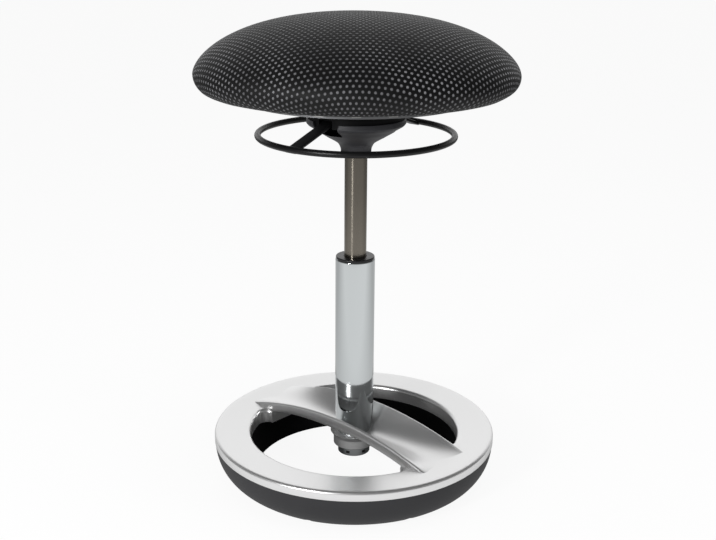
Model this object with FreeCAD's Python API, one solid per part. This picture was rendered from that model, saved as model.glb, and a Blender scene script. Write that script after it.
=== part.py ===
import FreeCAD, Part

import math
import os

# Wobble stool with a polished ring base, a rounded rocking underside, a gas lift that turns
# and changes height, and a ring lever all round under a domed fabric seat.
# Millimetres. Origin on the floor under the column, +Z up, the lift fully raised.

# Directions seen from above, in degrees from +X
bridge_angle = -42.5
lever_angle = -129.0

# Base casting: ring, arched bridge and hub
ring_radius = 183.0
band_bottom = 50.0
band_height = 8.0
shoulder_radius = 4.0
ring_top_slope = 0.042
casting_wall = 4.6
band_wall = 5.5
ring_width = 47.0
opening_corner_radius = 11.0
opening_edge_radius = 5.0
lip_bottom = 41.0
bridge_end_block = 14.0
bridge_half_width = 39.6
bridge_flare = 1.2
bridge_landing = 19.0
bridge_rise = 25.0
bridge_rail_depth = 13.5
bridge_rail_rim = 3.0
bridge_web_wall = 5.0
bridge_web_dip = 2.0
bridge_stations = 9
hub_radius = 26.8
hub_bottom = 38.4
hub_edge_radius = 1.2

# Rocker ring under the casting
rocker_inset = 0.7
rocker_bulge = 42.3
rocker_contact_width = 10.4
rocker_wall = 4.0
rocker_floor_wall = 4.5
rocker_rib_count = 24
rocker_rib_wall = 3.0
rocker_rib_top = 36.0
screw_count = 8
screw_inset = 23.0
screw_boss_radius = 8.5
screw_shank_radius = 3.0
screw_head_radius = 5.2
screw_head_height = 3.6
screw_head_seat = 29.0
screw_tip = 55.5
screw_clearance = 0.4

# Lift tube, standing in the hub
tube_radius = 25.0
tube_wall = 2.0
tube_top = 294.0
tube_neck_top = 86.0
tube_foot_radius = 20.9
tube_neck_bottom = 51.0
tube_bottom = 26.6
tube_window_count = 6
tube_window_width = 5.0
tube_window_height = 3.6
tube_window_middle = 31.9
tube_window_first = -112.0
press_clearance = 0.04
end_plate_clearance = 0.1
end_plate_tab_inset = 0.4
bush_length = 75.0
bush_collar_height = 3.0
bush_collar_inset = 0.6

# Gas cylinder, rod and bearing
lift_stroke = 130.0
cylinder_radius = 14.0
cylinder_wall = 1.8
cylinder_bottom = 215.0
cylinder_top = 471.0
cylinder_end_lip = 2.0
taper_length = 34.0
taper_drop = 0.8
running_clearance = 0.06
guide_length = 12.0
rod_radius = 5.0
rod_collar_radius = 8.0
rod_collar_height = 2.0
piston_length = 10.0
piston_clearance = 0.08
stop_gap = 0.4
race_thickness = 2.5
race_radius = 16.0
ball_radius = 2.5
ball_circle = 10.6
ball_count = 12
ball_clearance = 0.06
cage_thickness = 2.4
clip_wire_radius = 1.0
rod_end_length = 1.2
bumper_radius = 11.5
valve_body_length = 20.0
pin_radius = 3.9
pin_bore_clearance = 0.1
pin_top_radius = 2.6
pin_dome = 0.9
pin_free_travel = 2.6

# Ring lever
lever_ring_radius = 120.0
lever_ring_wire = 3.9
lever_ring_height = 451.4
lever_bar_width = 16.0
lever_bar_thickness = 4.0
lever_bar_slope = 0.345
lever_bar_flat = 33.0
lever_bar_gap = 0.3
lever_lift_angle = 4.5

# Seat mechanism
socket_radius = 22.0
socket_nose_radius = 17.6
socket_bottom = 439.0
socket_nose_height = 7.0
socket_chamber_radius = 17.0
slot_side_clearance = 0.6
seat_plate_top = 500.0
seat_plate_radius = 139.0
seat_plate_flats = 107.0
seat_plate_wall = 2.5
seat_plate_rim = 5.0
cup_radius = 58.5
cup_wall = 2.5
cup_bottom = 466.5
cup_corner_radius = 5.0
shroud_wall = 2.0
shroud_bottom = 430.0
shroud_fit = 0.3
shroud_lip_height = 6.0
shroud_notch_bottom = 455.5
shroud_notch_low_width = 30.0
shroud_notch_top_width = 41.0
bolt_circle = 104.0
bolt_count = 4
bolt_radius = 4.0
bolt_head_radius = 7.5
bolt_head_height = 4.2
bolt_hole_clearance = 0.4

# Seat board, foam and cover
board_thickness = 12.0
board_inset = 17.4
board_edge_round = 4.0
board_flat_radius = 140.0
board_edge_slope = 0.18
tee_nut_flange_radius = 11.0
tee_nut_flange = 1.6
tee_nut_barrel_radius = 5.2
cover_radius = 196.4
cover_widest = 526.6
cover_top = 596.8
cover_tuck = 24.2
cover_wall = 1.5
cover_hem_width = 21.2
crown_side_power = 2.29
crown_top_power = 1.66
crown_points = 9
soft_gap = 0.3
staple_count = 24
staple_width = 10.0
staple_wire = 1.0
staple_leg = 5.0
staple_inset = 5.0
staple_gap = 0.1

# Heights and radii that follow from the sizes above
opening_radius = ring_radius - ring_width
bridge_reach = opening_radius + bridge_landing
rocker_radius = ring_radius - rocker_inset
rocker_contact_outer = rocker_radius - rocker_bulge
rocker_contact_inner = rocker_contact_outer - rocker_contact_width
screw_circle = ring_radius - screw_inset
board_radius = cover_radius - board_inset
cover_turn_radius = cover_radius - cover_tuck
cover_hem_radius = cover_turn_radius - cover_hem_width
staple_circle = cover_hem_radius + staple_inset
ring_top_at_shoulder = band_bottom + band_height + shoulder_radius
bridge_end_height = ring_top_at_shoulder - ring_top_slope * (ring_radius - shoulder_radius - opening_radius)
tube_bore = tube_radius - tube_wall
foot_bore = tube_foot_radius - tube_wall
end_plate_bottom = tube_window_middle - tube_window_height / 2 + end_plate_clearance
end_plate_top = tube_window_middle + tube_window_height / 2 - end_plate_clearance
cage_bottom = end_plate_top + race_thickness + ball_clearance
upper_race_bottom = cage_bottom + 2 * ball_radius + ball_clearance
upper_race_top = upper_race_bottom + race_thickness
bumper_bottom = upper_race_top + rod_collar_height
bumper_top = cylinder_bottom - lift_stroke - stop_gap
cylinder_bore = cylinder_radius - cylinder_wall
guide_bottom = cylinder_bottom + cylinder_end_lip
piston_bottom = guide_bottom + guide_length + stop_gap
piston_top = piston_bottom + piston_length
valve_body_top = cylinder_top - cylinder_end_lip
lever_pivot_radius = socket_radius
lever_drop = 2 * lever_pivot_radius * math.sin(math.radians(lever_lift_angle))
pin_top = cylinder_top + pin_free_travel + pin_dome + lever_pivot_radius * math.sin(math.radians(lever_lift_angle))
lever_bar_bottom = pin_top + lever_bar_gap
lever_bar_middle = lever_bar_bottom + lever_bar_thickness / 2
slot_top = lever_bar_bottom + lever_bar_thickness + lever_bar_gap
slot_bottom = lever_bar_bottom - lever_drop - lever_bar_gap
seat_plate_bottom = seat_plate_top - seat_plate_rim
plate_web_bottom = seat_plate_top - seat_plate_wall
cup_web_bottom = plate_web_bottom - cup_wall
board_bottom = seat_plate_top
board_top = board_bottom + board_thickness
board_edge_rise = board_edge_slope * (board_radius - board_edge_round - board_flat_radius)
cover_lowest = board_bottom + board_edge_slope * (cover_turn_radius - board_flat_radius) - soft_gap - cover_wall


def at(radius, height):
    """Point in the half plane that is turned about the column."""
    return FreeCAD.Vector(radius, 0, height)


class Outline:
    """Closed outline drawn edge by edge in the half plane through the column's axis."""

    def __init__(self, radius, height):
        self.first = at(radius, height)
        self.here = self.first
        self.edges = []

    def line(self, radius, height):
        end = at(radius, height)
        self.edges.append(Part.makeLine(self.here, end))
        self.here = end
        return self

    def arc(self, via, end):
        self.edges.append(Part.Arc(self.here, at(*via), at(*end)).toShape())
        self.here = at(*end)
        return self

    def spline(self, points):
        curve = Part.BSplineCurve()
        curve.interpolate([self.here] + [at(*point) for point in points])
        self.edges.append(curve.toShape())
        self.here = at(*points[-1])
        return self

    def face(self):
        if self.here.distanceToPoint(self.first) > 1e-7:
            self.edges.append(Part.makeLine(self.here, self.first))
        return Part.Face(Part.Wire(self.edges))

    def turned(self):
        return self.face().revolve(FreeCAD.Vector(0, 0, 0), FreeCAD.Vector(0, 0, 1), 360)


def disc(radius, bottom, top):
    """Plain round bar about the column's axis."""
    return Part.makeCylinder(radius, top - bottom, FreeCAD.Vector(0, 0, bottom))


def washer(outer, inner, bottom, top):
    """Flat ring about the column's axis."""
    return disc(outer, bottom, top).cut(disc(inner, bottom - 1, top + 1))


def turned_to(shape, angle):
    """Copy of a shape turned about the column."""
    copy = shape.copy()
    copy.rotate(FreeCAD.Vector(0, 0, 0), FreeCAD.Vector(0, 0, 1), angle)
    return copy


def spaced(shape, count, first=0.0):
    """Copies of a shape at equal angles round the column."""
    return [turned_to(shape, first + 360.0 * step / count) for step in range(count)]


def upright(radius, bottom, top, circle):
    """Upright round bar standing on a circle about the column, on the +X side."""
    return Part.makeCylinder(radius, top - bottom, FreeCAD.Vector(circle, 0, bottom))


def arc_point(centre, radius, degrees):
    """Point on a circle in the half plane."""
    angle = math.radians(degrees)
    return (centre[0] + radius * math.cos(angle), centre[1] + radius * math.sin(angle))


# Base casting


def ring_top(radius):
    """Height of the ring's gently dished top at a radius."""
    return ring_top_at_shoulder - ring_top_slope * (ring_radius - shoulder_radius - radius)


def rail_height(along):
    """Crest height of the bridge's side rails, an arch from ring to ring."""
    return bridge_end_height + bridge_rise * (1 - (along / bridge_reach) ** 2)


def web_height(along):
    """Floor of the bridge's trough, level with the ring at both ends and lower at the hub."""
    swing = (1 + math.cos(math.pi * along / opening_radius)) / 2
    return bridge_end_height + 0.3 - bridge_web_dip * swing


def rail_offset(along):
    """Half width of the bridge, a slight waist at the hub."""
    return bridge_half_width + bridge_flare * (along / bridge_reach) ** 2


def parabola(half_width, side_height, middle_height, along, backwards):
    """Edge of a trough section: a parabola across the bridge."""
    side = -half_width if backwards else half_width
    poles = [
        FreeCAD.Vector(along, side, side_height),
        FreeCAD.Vector(along, 0, 2 * middle_height - side_height),
        FreeCAD.Vector(along, -side, side_height),
    ]
    curve = Part.BezierCurve()
    curve.setPoles(poles)
    return curve.toShape()


def bridge_section(along):
    """Section across the bridge: trough above, two thick rails, bowed underside."""
    half = rail_offset(along)
    crest = rail_height(along)
    foot = crest - bridge_rail_depth
    rim = bridge_rail_rim
    bend = rim * (1 - math.sqrt(0.5))

    def point(across, height):
        return FreeCAD.Vector(along, across, height)

    return Part.Wire([
        parabola(half - rim, crest, web_height(along), along, True),
        Part.Arc(point(half - rim, crest), point(half - bend, crest - bend), point(half, crest - rim)).toShape(),
        Part.makeLine(point(half, crest - rim), point(half, foot)),
        parabola(half, foot, web_height(along) - bridge_web_wall, along, False),
        Part.makeLine(point(-half, foot), point(-half, crest - rim)),
        Part.Arc(point(-half, crest - rim), point(bend - half, crest - bend), point(rim - half, crest)).toShape(),
    ])


def bridge():
    """Arched bridge along +X: a trough between two rails, lofted through its sections."""
    end = bridge_reach + bridge_rail_rim
    step = 2 * end / (bridge_stations - 1)
    sections = [bridge_section(-end + step * index) for index in range(bridge_stations)]
    return Part.makeLoft(sections, True)


def base_opening():
    """D-shaped opening between the bridge and the ring, cut right through, on the +Y side."""
    chord = bridge_half_width - 1.0
    corner = opening_corner_radius
    reach = opening_radius
    corner_across = chord + corner
    corner_along = math.sqrt((reach - corner) ** 2 - corner_across ** 2)
    scale = reach / (reach - corner)
    low, high = lip_bottom - 1, ring_radius

    def point(along, across):
        return FreeCAD.Vector(along, across, low)

    def corner_middle(side):
        direction = math.radians(-90 + math.degrees(math.atan2(corner_across, corner_along)))
        angle = direction / 2
        return point(side * (corner_along + corner * math.cos(angle)), corner_across + corner * math.sin(angle))

    start = point(-corner_along, chord)
    end = point(corner_along, chord)
    right = point(corner_along * scale, corner_across * scale)
    left = point(-corner_along * scale, corner_across * scale)
    outline = Part.Wire([
        Part.makeLine(start, end),
        Part.Arc(end, corner_middle(1), right).toShape(),
        Part.Arc(right, point(0, reach), left).toShape(),
        Part.Arc(left, corner_middle(-1), start).toShape(),
    ])
    return Part.Face(outline).extrude(FreeCAD.Vector(0, 0, high - low))


def ring_channel():
    """Ring of the casting: band, dished top and inner lip, open below."""
    inside = opening_radius - bridge_end_block
    lip_back = opening_radius + casting_wall
    band_back = ring_radius - band_wall
    shoulder = (ring_radius - shoulder_radius, band_bottom + band_height)
    outline = Outline(ring_radius, band_bottom)
    outline.line(ring_radius, shoulder[1])
    outline.arc(arc_point(shoulder, shoulder_radius, 45), arc_point(shoulder, shoulder_radius, 90))
    outline.line(inside, ring_top(inside))
    outline.line(inside, lip_bottom)
    outline.line(lip_back, lip_bottom)
    outline.line(lip_back, ring_top(lip_back) - casting_wall)
    outline.line(band_back, ring_top(band_back) - casting_wall)
    outline.line(band_back, band_bottom)
    return outline.turned()


def opening_edges(shape):
    """Top edges of the openings, where the hand and the eye meet the ring."""
    chosen = []
    for edge in shape.Edges:
        box = edge.BoundBox
        radius = max(math.hypot(v.X, v.Y) for v in edge.Vertexes)
        low = ring_top(opening_radius - bridge_end_block) - 0.5
        if box.ZMin > low and radius < opening_radius + 1 and box.DiagonalLength > 3:
            inside = opening_radius - bridge_end_block + 0.5
            middle = edge.valueAt((edge.FirstParameter + edge.LastParameter) / 2)
            if math.hypot(middle.x, middle.y) > inside:
                chosen.append(edge)
    return chosen


def base_casting():
    """Polished aluminium base: ring, bridge and hub cast in one piece."""
    opening = base_opening()
    ring = ring_channel().cut(opening).cut(turned_to(opening, 180))
    ring = ring.makeFillet(opening_edge_radius, opening_edges(ring))
    boss = upright(screw_boss_radius - 1, band_bottom, ring_top(screw_circle) - casting_wall / 2, screw_circle)
    bosses = spaced(boss, screw_count, 180.0 / screw_count)
    hub = Outline(0, hub_bottom)
    hub.line(hub_radius - hub_edge_radius, hub_bottom)
    hub.line(hub_radius, hub_bottom + hub_edge_radius)
    hub.line(hub_radius, web_height(0) - bridge_web_wall / 2)
    hub.line(0, web_height(0) - bridge_web_wall / 2)
    casting = ring.fuse([bridge(), hub.turned()] + bosses)
    casting = casting.cut(tube_outside(press_clearance))
    pilot = upright(screw_shank_radius, band_bottom - 1, screw_tip + screw_clearance, screw_circle)
    casting = casting.cut(Part.makeCompound(spaced(pilot, screw_count, 180.0 / screw_count)))
    return turned_to(casting.removeSplitter(), bridge_angle)


# Rocker ring


def rocker_curve(radius, height, start_angle):
    """Quarter ellipse of the rounded underside: half-way point and end."""
    half = math.radians(start_angle)
    centre = (rocker_contact_outer, band_bottom)
    return (centre[0] + radius * math.cos(half), centre[1] - height * math.sin(half))


def rocker_outline(outline, radius, height, downwards):
    """Adds the rounded outer wall of the rocker ring as a quarter ellipse."""
    turns = [15, 30, 45, 60, 75, 90]
    if not downwards:
        turns = [75, 60, 45, 30, 15, 0]
    outline.spline([rocker_curve(radius, height, turn) for turn in turns])


def rocker_cavity(top):
    """Space inside the rocker ring's walls, up to a height."""
    across = rocker_radius - rocker_contact_outer - rocker_wall
    depth = band_bottom - rocker_floor_wall
    inner_top = opening_radius + casting_wall
    lean = (inner_top - rocker_wall - rocker_contact_inner) / lip_bottom
    outline = Outline(rocker_contact_outer + across, band_bottom)
    rocker_outline(outline, across, depth, True)
    outline.line(rocker_contact_inner + rocker_wall + lean * rocker_floor_wall, rocker_floor_wall)
    outline.line(inner_top + lean * (band_bottom - lip_bottom), band_bottom)
    solid = outline.turned()
    return solid.common(disc(ring_radius, 0, top)) if top < band_bottom else solid


def rocker_ring():
    """Moulded ring with a rounded outside, open on top, with ribs and screw bosses inside."""
    outline = Outline(rocker_radius, band_bottom)
    rocker_outline(outline, rocker_radius - rocker_contact_outer, band_bottom, True)
    outline.line(rocker_contact_inner, 0)
    outline.line(opening_radius + casting_wall - rocker_wall, lip_bottom)
    outline.line(opening_radius + casting_wall, lip_bottom)
    outline.line(opening_radius + casting_wall, band_bottom)
    solid = outline.turned()
    cavity = rocker_cavity(band_bottom)
    trim = disc(opening_radius + casting_wall + rocker_wall / 2, lip_bottom, band_bottom)
    shell = solid.cut(cavity).cut(trim)
    low = rocker_cavity(rocker_rib_top)
    length = rocker_radius
    slab = Part.makeBox(length, rocker_rib_wall, band_bottom, FreeCAD.Vector(0, -rocker_rib_wall / 2, 0))
    first = 180.0 / rocker_rib_count
    ribs = Part.makeCompound(spaced(slab, rocker_rib_count, first)).common(low)
    boss = upright(screw_boss_radius, 0, band_bottom, screw_circle)
    bosses = Part.makeCompound(spaced(boss, screw_count, 180.0 / screw_count)).common(cavity)
    ring = shell.fuse([ribs, bosses])
    ring = ring.cut(Part.makeCompound(spaced(screw_hole(), screw_count, 180.0 / screw_count)))
    return turned_to(ring.removeSplitter(), bridge_angle)


def screw_hole():
    """Hole for one screw, with the deep recess for its head."""
    shank = upright(screw_shank_radius + screw_clearance, 0, band_bottom + 1, screw_circle)
    recess = upright(screw_head_radius + 2 * screw_clearance, -1, screw_head_seat, screw_circle)
    return shank.fuse(recess)


def rocker_screws():
    """Screws from below that hold the rocker ring to the casting."""
    head = upright(screw_head_radius, screw_head_seat - screw_head_height, screw_head_seat, screw_circle)
    socket_depth = screw_head_height * 0.6
    socket = upright(screw_shank_radius, screw_head_seat - screw_head_height, screw_head_seat - socket_depth / 2, screw_circle)
    shank = upright(screw_shank_radius - press_clearance, screw_head_seat, screw_tip, screw_circle)
    screw = turned_to(head.cut(socket).fuse(shank), bridge_angle)
    return Part.makeCompound(spaced(screw, screw_count, 180.0 / screw_count))


# Lift tube and what it holds


def tube_outline(grow, bottom, top):
    """Outside of the lift tube, necked in to its foot, as a full outline to the axis."""
    outline = Outline(0, bottom)
    outline.line(tube_foot_radius + grow, bottom)
    outline.line(tube_foot_radius + grow, tube_neck_bottom)
    outline.spline([
        (tube_foot_radius + grow + (tube_radius - tube_foot_radius) * 0.42, (tube_neck_bottom + tube_neck_top) / 2),
        (tube_radius + grow, tube_neck_top),
    ])
    outline.line(tube_radius + grow, top)
    outline.line(0, top)
    return outline


def tube_outside(grow):
    """Space that the lift tube fills, grown by a clearance."""
    return tube_outline(grow, tube_bottom - 1, tube_top).turned()


def lift_tube():
    """Chromed steel tube with a necked foot and punched windows for its end plate."""
    tube = tube_outline(0, tube_bottom, tube_top).turned()
    tube = tube.cut(tube_outline(-tube_wall, tube_bottom - 1, tube_top + 1).turned())
    window = Part.makeBox(
        tube_wall * 4, tube_window_width, tube_window_height,
        FreeCAD.Vector(foot_bore - tube_wall, -tube_window_width / 2, tube_window_middle - tube_window_height / 2),
    )
    return tube.cut(Part.makeCompound(spaced(window, tube_window_count, tube_window_first)))


def tube_end_plate():
    """Steel plate in the tube's foot that carries the bearing, its tabs locked in the windows."""
    bore = rod_radius + 2 * running_clearance
    plate = disc(foot_bore - press_clearance, end_plate_bottom, end_plate_top)
    width = tube_window_width - 2 * end_plate_clearance
    tab = Part.makeBox(
        tube_foot_radius - end_plate_tab_inset, width, end_plate_top - end_plate_bottom,
        FreeCAD.Vector(0, -width / 2, end_plate_bottom),
    )
    plate = plate.fuse(spaced(tab, tube_window_count, tube_window_first)).removeSplitter()
    return plate.cut(disc(bore, end_plate_bottom - 1, end_plate_top + 1))


def guide_bush():
    """Plastic bush in the tube's mouth that guides the cylinder, with a collar on top."""
    outline = Outline(cylinder_radius + running_clearance, tube_top - bush_length)
    outline.line(tube_bore - press_clearance, tube_top - bush_length)
    outline.line(tube_bore - press_clearance, tube_top)
    outline.line(tube_radius - bush_collar_inset, tube_top)
    outline.line(tube_radius - bush_collar_inset, tube_top + bush_collar_height - 1)
    outline.line(tube_radius - bush_collar_inset - 1, tube_top + bush_collar_height)
    outline.line(cylinder_radius + running_clearance, tube_top + bush_collar_height)
    return outline.turned()


def lower_race():
    """Bearing race that lies on the end plate."""
    race = washer(race_radius, rod_radius + 4 * running_clearance, end_plate_top, end_plate_top + race_thickness)
    return race.cut(ball_groove())


def upper_race():
    """Bearing race that turns with the rod."""
    race = washer(race_radius, rod_radius + press_clearance, upper_race_bottom, upper_race_top)
    return race.cut(ball_groove())


def ball_groove():
    """Ring-shaped track that the balls roll in."""
    track = ball_radius + ball_clearance
    return Part.makeTorus(ball_circle, track, FreeCAD.Vector(0, 0, ball_middle()))


def ball_middle():
    """Height of the balls' centres, sunk a little into both races."""
    return (end_plate_top + race_thickness + upper_race_bottom) / 2


def bearing_balls():
    """Steel balls between the races."""
    ball = Part.makeSphere(ball_radius, FreeCAD.Vector(ball_circle, 0, ball_middle()))
    return Part.makeCompound(spaced(ball, ball_count))


def bearing_cage():
    """Plastic cage that keeps the balls apart."""
    low = ball_middle() - cage_thickness / 2
    cage = washer(ball_circle + 1.6 * ball_radius, ball_circle - 1.6 * ball_radius, low, low + cage_thickness)
    pocket = Part.makeSphere(ball_radius + ball_clearance, FreeCAD.Vector(ball_circle, 0, ball_middle()))
    return cage.cut(Part.makeCompound(spaced(pocket, ball_count)))


# Rod group


def piston_rod():
    """Ground steel rod with a collar on the bearing and a groove for its clip."""
    clip_middle = end_plate_bottom - clip_wire_radius - stop_gap / 2
    end = clip_middle - clip_wire_radius - rod_end_length / 2
    groove = Part.makeTorus(rod_radius + clip_wire_radius / 2, clip_wire_radius, FreeCAD.Vector(0, 0, clip_middle))
    rod = disc(rod_radius, end, piston_top)
    collar = disc(rod_collar_radius, upper_race_top, bumper_bottom)
    return rod.fuse(collar).cut(groove)


def rod_clip():
    """Round wire clip under the end plate that keeps the rod in the tube."""
    clip_middle = end_plate_bottom - clip_wire_radius - stop_gap / 2
    wire = clip_wire_radius - press_clearance
    ring = Part.makeTorus(rod_radius + clip_wire_radius / 2, wire, FreeCAD.Vector(0, 0, clip_middle))
    gap = Part.makeBox(
        rod_radius * 3, rod_radius, rod_radius,
        FreeCAD.Vector(0, -rod_radius / 2, clip_middle - rod_radius / 2),
    )
    return ring.cut(gap)


def piston():
    """Piston on the rod's end, inside the cylinder."""
    body = washer(cylinder_bore - piston_clearance, rod_radius + press_clearance, piston_bottom, piston_top)
    middle = (piston_bottom + piston_top) / 2
    seal = Part.makeTorus(cylinder_bore - piston_clearance, ball_radius / 2, FreeCAD.Vector(0, 0, middle))
    return body.cut(seal)


def rubber_bumper():
    """Rubber buffer round the rod that the cylinder comes down on."""
    outline = Outline(rod_radius + soft_gap, bumper_bottom)
    outline.line(bumper_radius - 1, bumper_bottom)
    outline.line(bumper_radius, bumper_bottom + 2)
    outline.spline([(bumper_radius - 1.5, (bumper_bottom + bumper_top) / 2), (bumper_radius, bumper_top - 2)])
    outline.line(bumper_radius - 1, bumper_top)
    outline.line(rod_radius + soft_gap, bumper_top)
    return outline.turned()


# Cylinder group


def cylinder_outline(grow, bottom):
    """Outside of the cylinder with its tapered top, as a full outline to the axis."""
    taper_start = cylinder_top - taper_length
    outline = Outline(0, bottom)
    outline.line(cylinder_radius + grow, bottom)
    outline.line(cylinder_radius + grow, taper_start)
    outline.line(cylinder_radius - taper_drop + grow, cylinder_top)
    outline.line(0, cylinder_top)
    return outline


def gas_cylinder():
    """Pressure tube, rolled in at both ends, with a tapered top that jams in the seat socket."""
    bore_top = cylinder_bore - taper_drop
    bore = Outline(0, guide_bottom)
    bore.line(cylinder_bore, guide_bottom)
    bore.line(cylinder_bore, cylinder_top - taper_length)
    bore.line(bore_top, valve_body_top)
    bore.line(0, valve_body_top)
    body = cylinder_outline(0, cylinder_bottom).turned().cut(bore.turned())
    body = body.cut(disc(rod_radius + 1.5, cylinder_bottom - 1, guide_bottom + 1))
    return body.cut(disc(pin_radius + 1.5, valve_body_top - 1, cylinder_top + 1))


def rod_guide():
    """Guide and seal pack in the cylinder's lower end."""
    return washer(
        cylinder_bore - press_clearance, rod_radius + running_clearance,
        guide_bottom, guide_bottom + guide_length,
    )


def valve_body():
    """Valve block in the cylinder's upper end, bored for its pin."""
    bottom = valve_body_top - valve_body_length
    fit = cylinder_bore - taper_drop - press_clearance
    pin_bottom = bottom + pin_free_travel
    block = disc(fit, bottom, valve_body_top)
    return block.cut(disc(pin_radius + pin_bore_clearance, pin_bottom, valve_body_top + 1))


def valve_pin():
    """Pin that opens the valve when the lever presses it down."""
    bottom = valve_body_top - valve_body_length + 2 * pin_free_travel + 0.4
    outline = Outline(0, bottom)
    outline.line(pin_radius, bottom)
    outline.line(pin_radius, pin_top - pin_dome)
    outline.line(pin_top_radius, pin_top)
    outline.line(0, pin_top)
    return outline.turned()


# Seat mechanism


def slot_box(bottom, top, width):
    """Box through the axis along the lever bar, to cut slots with."""
    box = Part.makeBox(4 * cup_radius, width, top - bottom, FreeCAD.Vector(-2 * cup_radius, -width / 2, bottom))
    return turned_to(box, lever_angle)


def seat_socket():
    """Turned steel socket: tapered bore for the cylinder, slots above it for the lever bar."""
    outline = Outline(0, socket_bottom)
    outline.line(socket_nose_radius, socket_bottom)
    outline.line(socket_radius, socket_bottom + socket_nose_height)
    outline.line(socket_radius, cup_web_bottom)
    outline.line(0, cup_web_bottom)
    body = outline.turned().cut(cylinder_outline(press_clearance, cylinder_bottom).turned())
    body = body.cut(disc(socket_chamber_radius, cylinder_top, cup_web_bottom + 1))
    return body.cut(slot_box(slot_bottom, slot_top, lever_bar_width + 2 * slot_side_clearance))


def mechanism_cup():
    """Pressed steel cup welded round the socket, bearing on the seat plate."""
    corner = (cup_radius - cup_corner_radius, plate_web_bottom - cup_corner_radius)
    inner = cup_corner_radius - cup_wall
    outline = Outline(cup_radius, cup_bottom)
    outline.line(cup_radius, corner[1])
    outline.arc(arc_point(corner, cup_corner_radius, 45), arc_point(corner, cup_corner_radius, 90))
    outline.line(0, plate_web_bottom)
    outline.line(0, cup_web_bottom)
    outline.line(corner[0], cup_web_bottom)
    outline.arc(arc_point(corner, inner, 45), arc_point(corner, inner, 0))
    outline.line(cup_radius - cup_wall, cup_bottom)
    travel = (cup_radius - lever_pivot_radius) * math.sin(math.radians(lever_lift_angle))
    slot = slot_box(cup_bottom - 1, bar_top(cup_radius - cup_wall) + travel + 1, lever_bar_width + 4)
    return outline.turned().cut(slot)


def shroud_curve():
    """Flared outside of the shroud, from its neck up to its lip."""
    lip = cup_radius + shroud_fit + shroud_wall
    return [(20.2, 437.0), (22.9, 442.0), (39.4, 451.8), (lip, cup_bottom - 1.4)]


def shroud_outline(inset):
    """Outline of the shroud's outside to the axis, moved inwards by a wall."""
    neck = 18.8 - inset
    curve = shroud_curve()
    lip = curve[-1][0]
    outline = Outline(0, shroud_bottom - (1 if inset else 0))
    outline.line(neck, shroud_bottom - (1 if inset else 0))
    outline.line(neck, shroud_bottom + 3)
    outline.spline([(curve[0][0] - inset, curve[0][1]), (curve[1][0] - inset * 0.8, curve[1][1] + inset * 0.4)])
    outline.line(lip - inset, curve[-1][1] + inset * 0.2)
    outline.line(lip - inset, cup_bottom + shroud_lip_height + (1 if inset else 0))
    outline.line(0, cup_bottom + shroud_lip_height + (1 if inset else 0))
    return outline


def shroud_cone():
    """Flared plastic shroud over the socket, notched on both sides for the lever bar."""
    cone = shroud_outline(0).turned().cut(shroud_outline(shroud_wall).turned())
    cone = cone.cut(disc(cylinder_radius + 0.8, shroud_bottom - 1, shroud_bottom + 1))
    low = shroud_notch_low_width / 2
    top = shroud_notch_top_width / 2
    lip_top = cup_bottom + shroud_lip_height + 1
    corners = [
        FreeCAD.Vector(0, -low, shroud_notch_bottom),
        FreeCAD.Vector(0, low, shroud_notch_bottom),
        FreeCAD.Vector(0, top, lip_top),
        FreeCAD.Vector(0, -top, lip_top),
    ]
    notch = Part.Face(Part.makePolygon(corners + corners[:1])).extrude(FreeCAD.Vector(2 * cup_radius, 0, 0))
    both = [turned_to(notch, lever_angle), turned_to(notch, lever_angle + 180)]
    return cone.cut(Part.makeCompound(both))


def seat_plate():
    """Pressed steel plate with two flat sides and a rim turned down all round."""
    def blank(inset, bottom, top):
        width = 2 * (seat_plate_flats - inset)
        length = 2 * seat_plate_radius
        box = Part.makeBox(width, length, top - bottom, FreeCAD.Vector(-width / 2, -length / 2, bottom))
        return disc(seat_plate_radius - inset, bottom, top).common(box)

    outside = blank(0, seat_plate_bottom, seat_plate_top)
    top_edges = [edge for edge in outside.Edges if edge.BoundBox.ZMin > seat_plate_top - 0.01]
    outside = outside.makeFillet(seat_plate_wall / 2, top_edges)
    plate = outside.cut(blank(seat_plate_wall, seat_plate_bottom - 1, plate_web_bottom))
    hole = upright(bolt_radius + bolt_hole_clearance, plate_web_bottom - 1, seat_plate_top + 1, bolt_circle)
    return plate.cut(Part.makeCompound(spaced(hole, bolt_count, 45)))


def plate_bolts():
    """Bolts that hold the seat plate to the board."""
    head_bottom = plate_web_bottom - bolt_head_height
    head = upright(bolt_head_radius, head_bottom, plate_web_bottom, bolt_circle)
    hexagon = Part.makePolygon([
        FreeCAD.Vector(
            bolt_circle + bolt_radius * math.cos(math.radians(60 * turn)),
            bolt_radius * math.sin(math.radians(60 * turn)), head_bottom,
        )
        for turn in range(7)
    ])
    key = Part.Face(hexagon).extrude(FreeCAD.Vector(0, 0, bolt_head_height / 2))
    shank = upright(bolt_radius, plate_web_bottom, board_top - 1, bolt_circle)
    bolt = head.cut(key).fuse(shank)
    return Part.makeCompound(spaced(bolt, bolt_count, 45))


def tee_nuts():
    """Tee nuts let into the top of the board."""
    flange = upright(tee_nut_flange_radius, board_top - tee_nut_flange, board_top, bolt_circle)
    barrel = upright(tee_nut_barrel_radius, board_bottom + 1, board_top, bolt_circle)
    bore = upright(bolt_radius + press_clearance, board_bottom, board_top + 1, bolt_circle)
    return Part.makeCompound(spaced(flange.fuse(barrel).cut(bore), bolt_count, 45))


# Seat board, foam and cover


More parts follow.
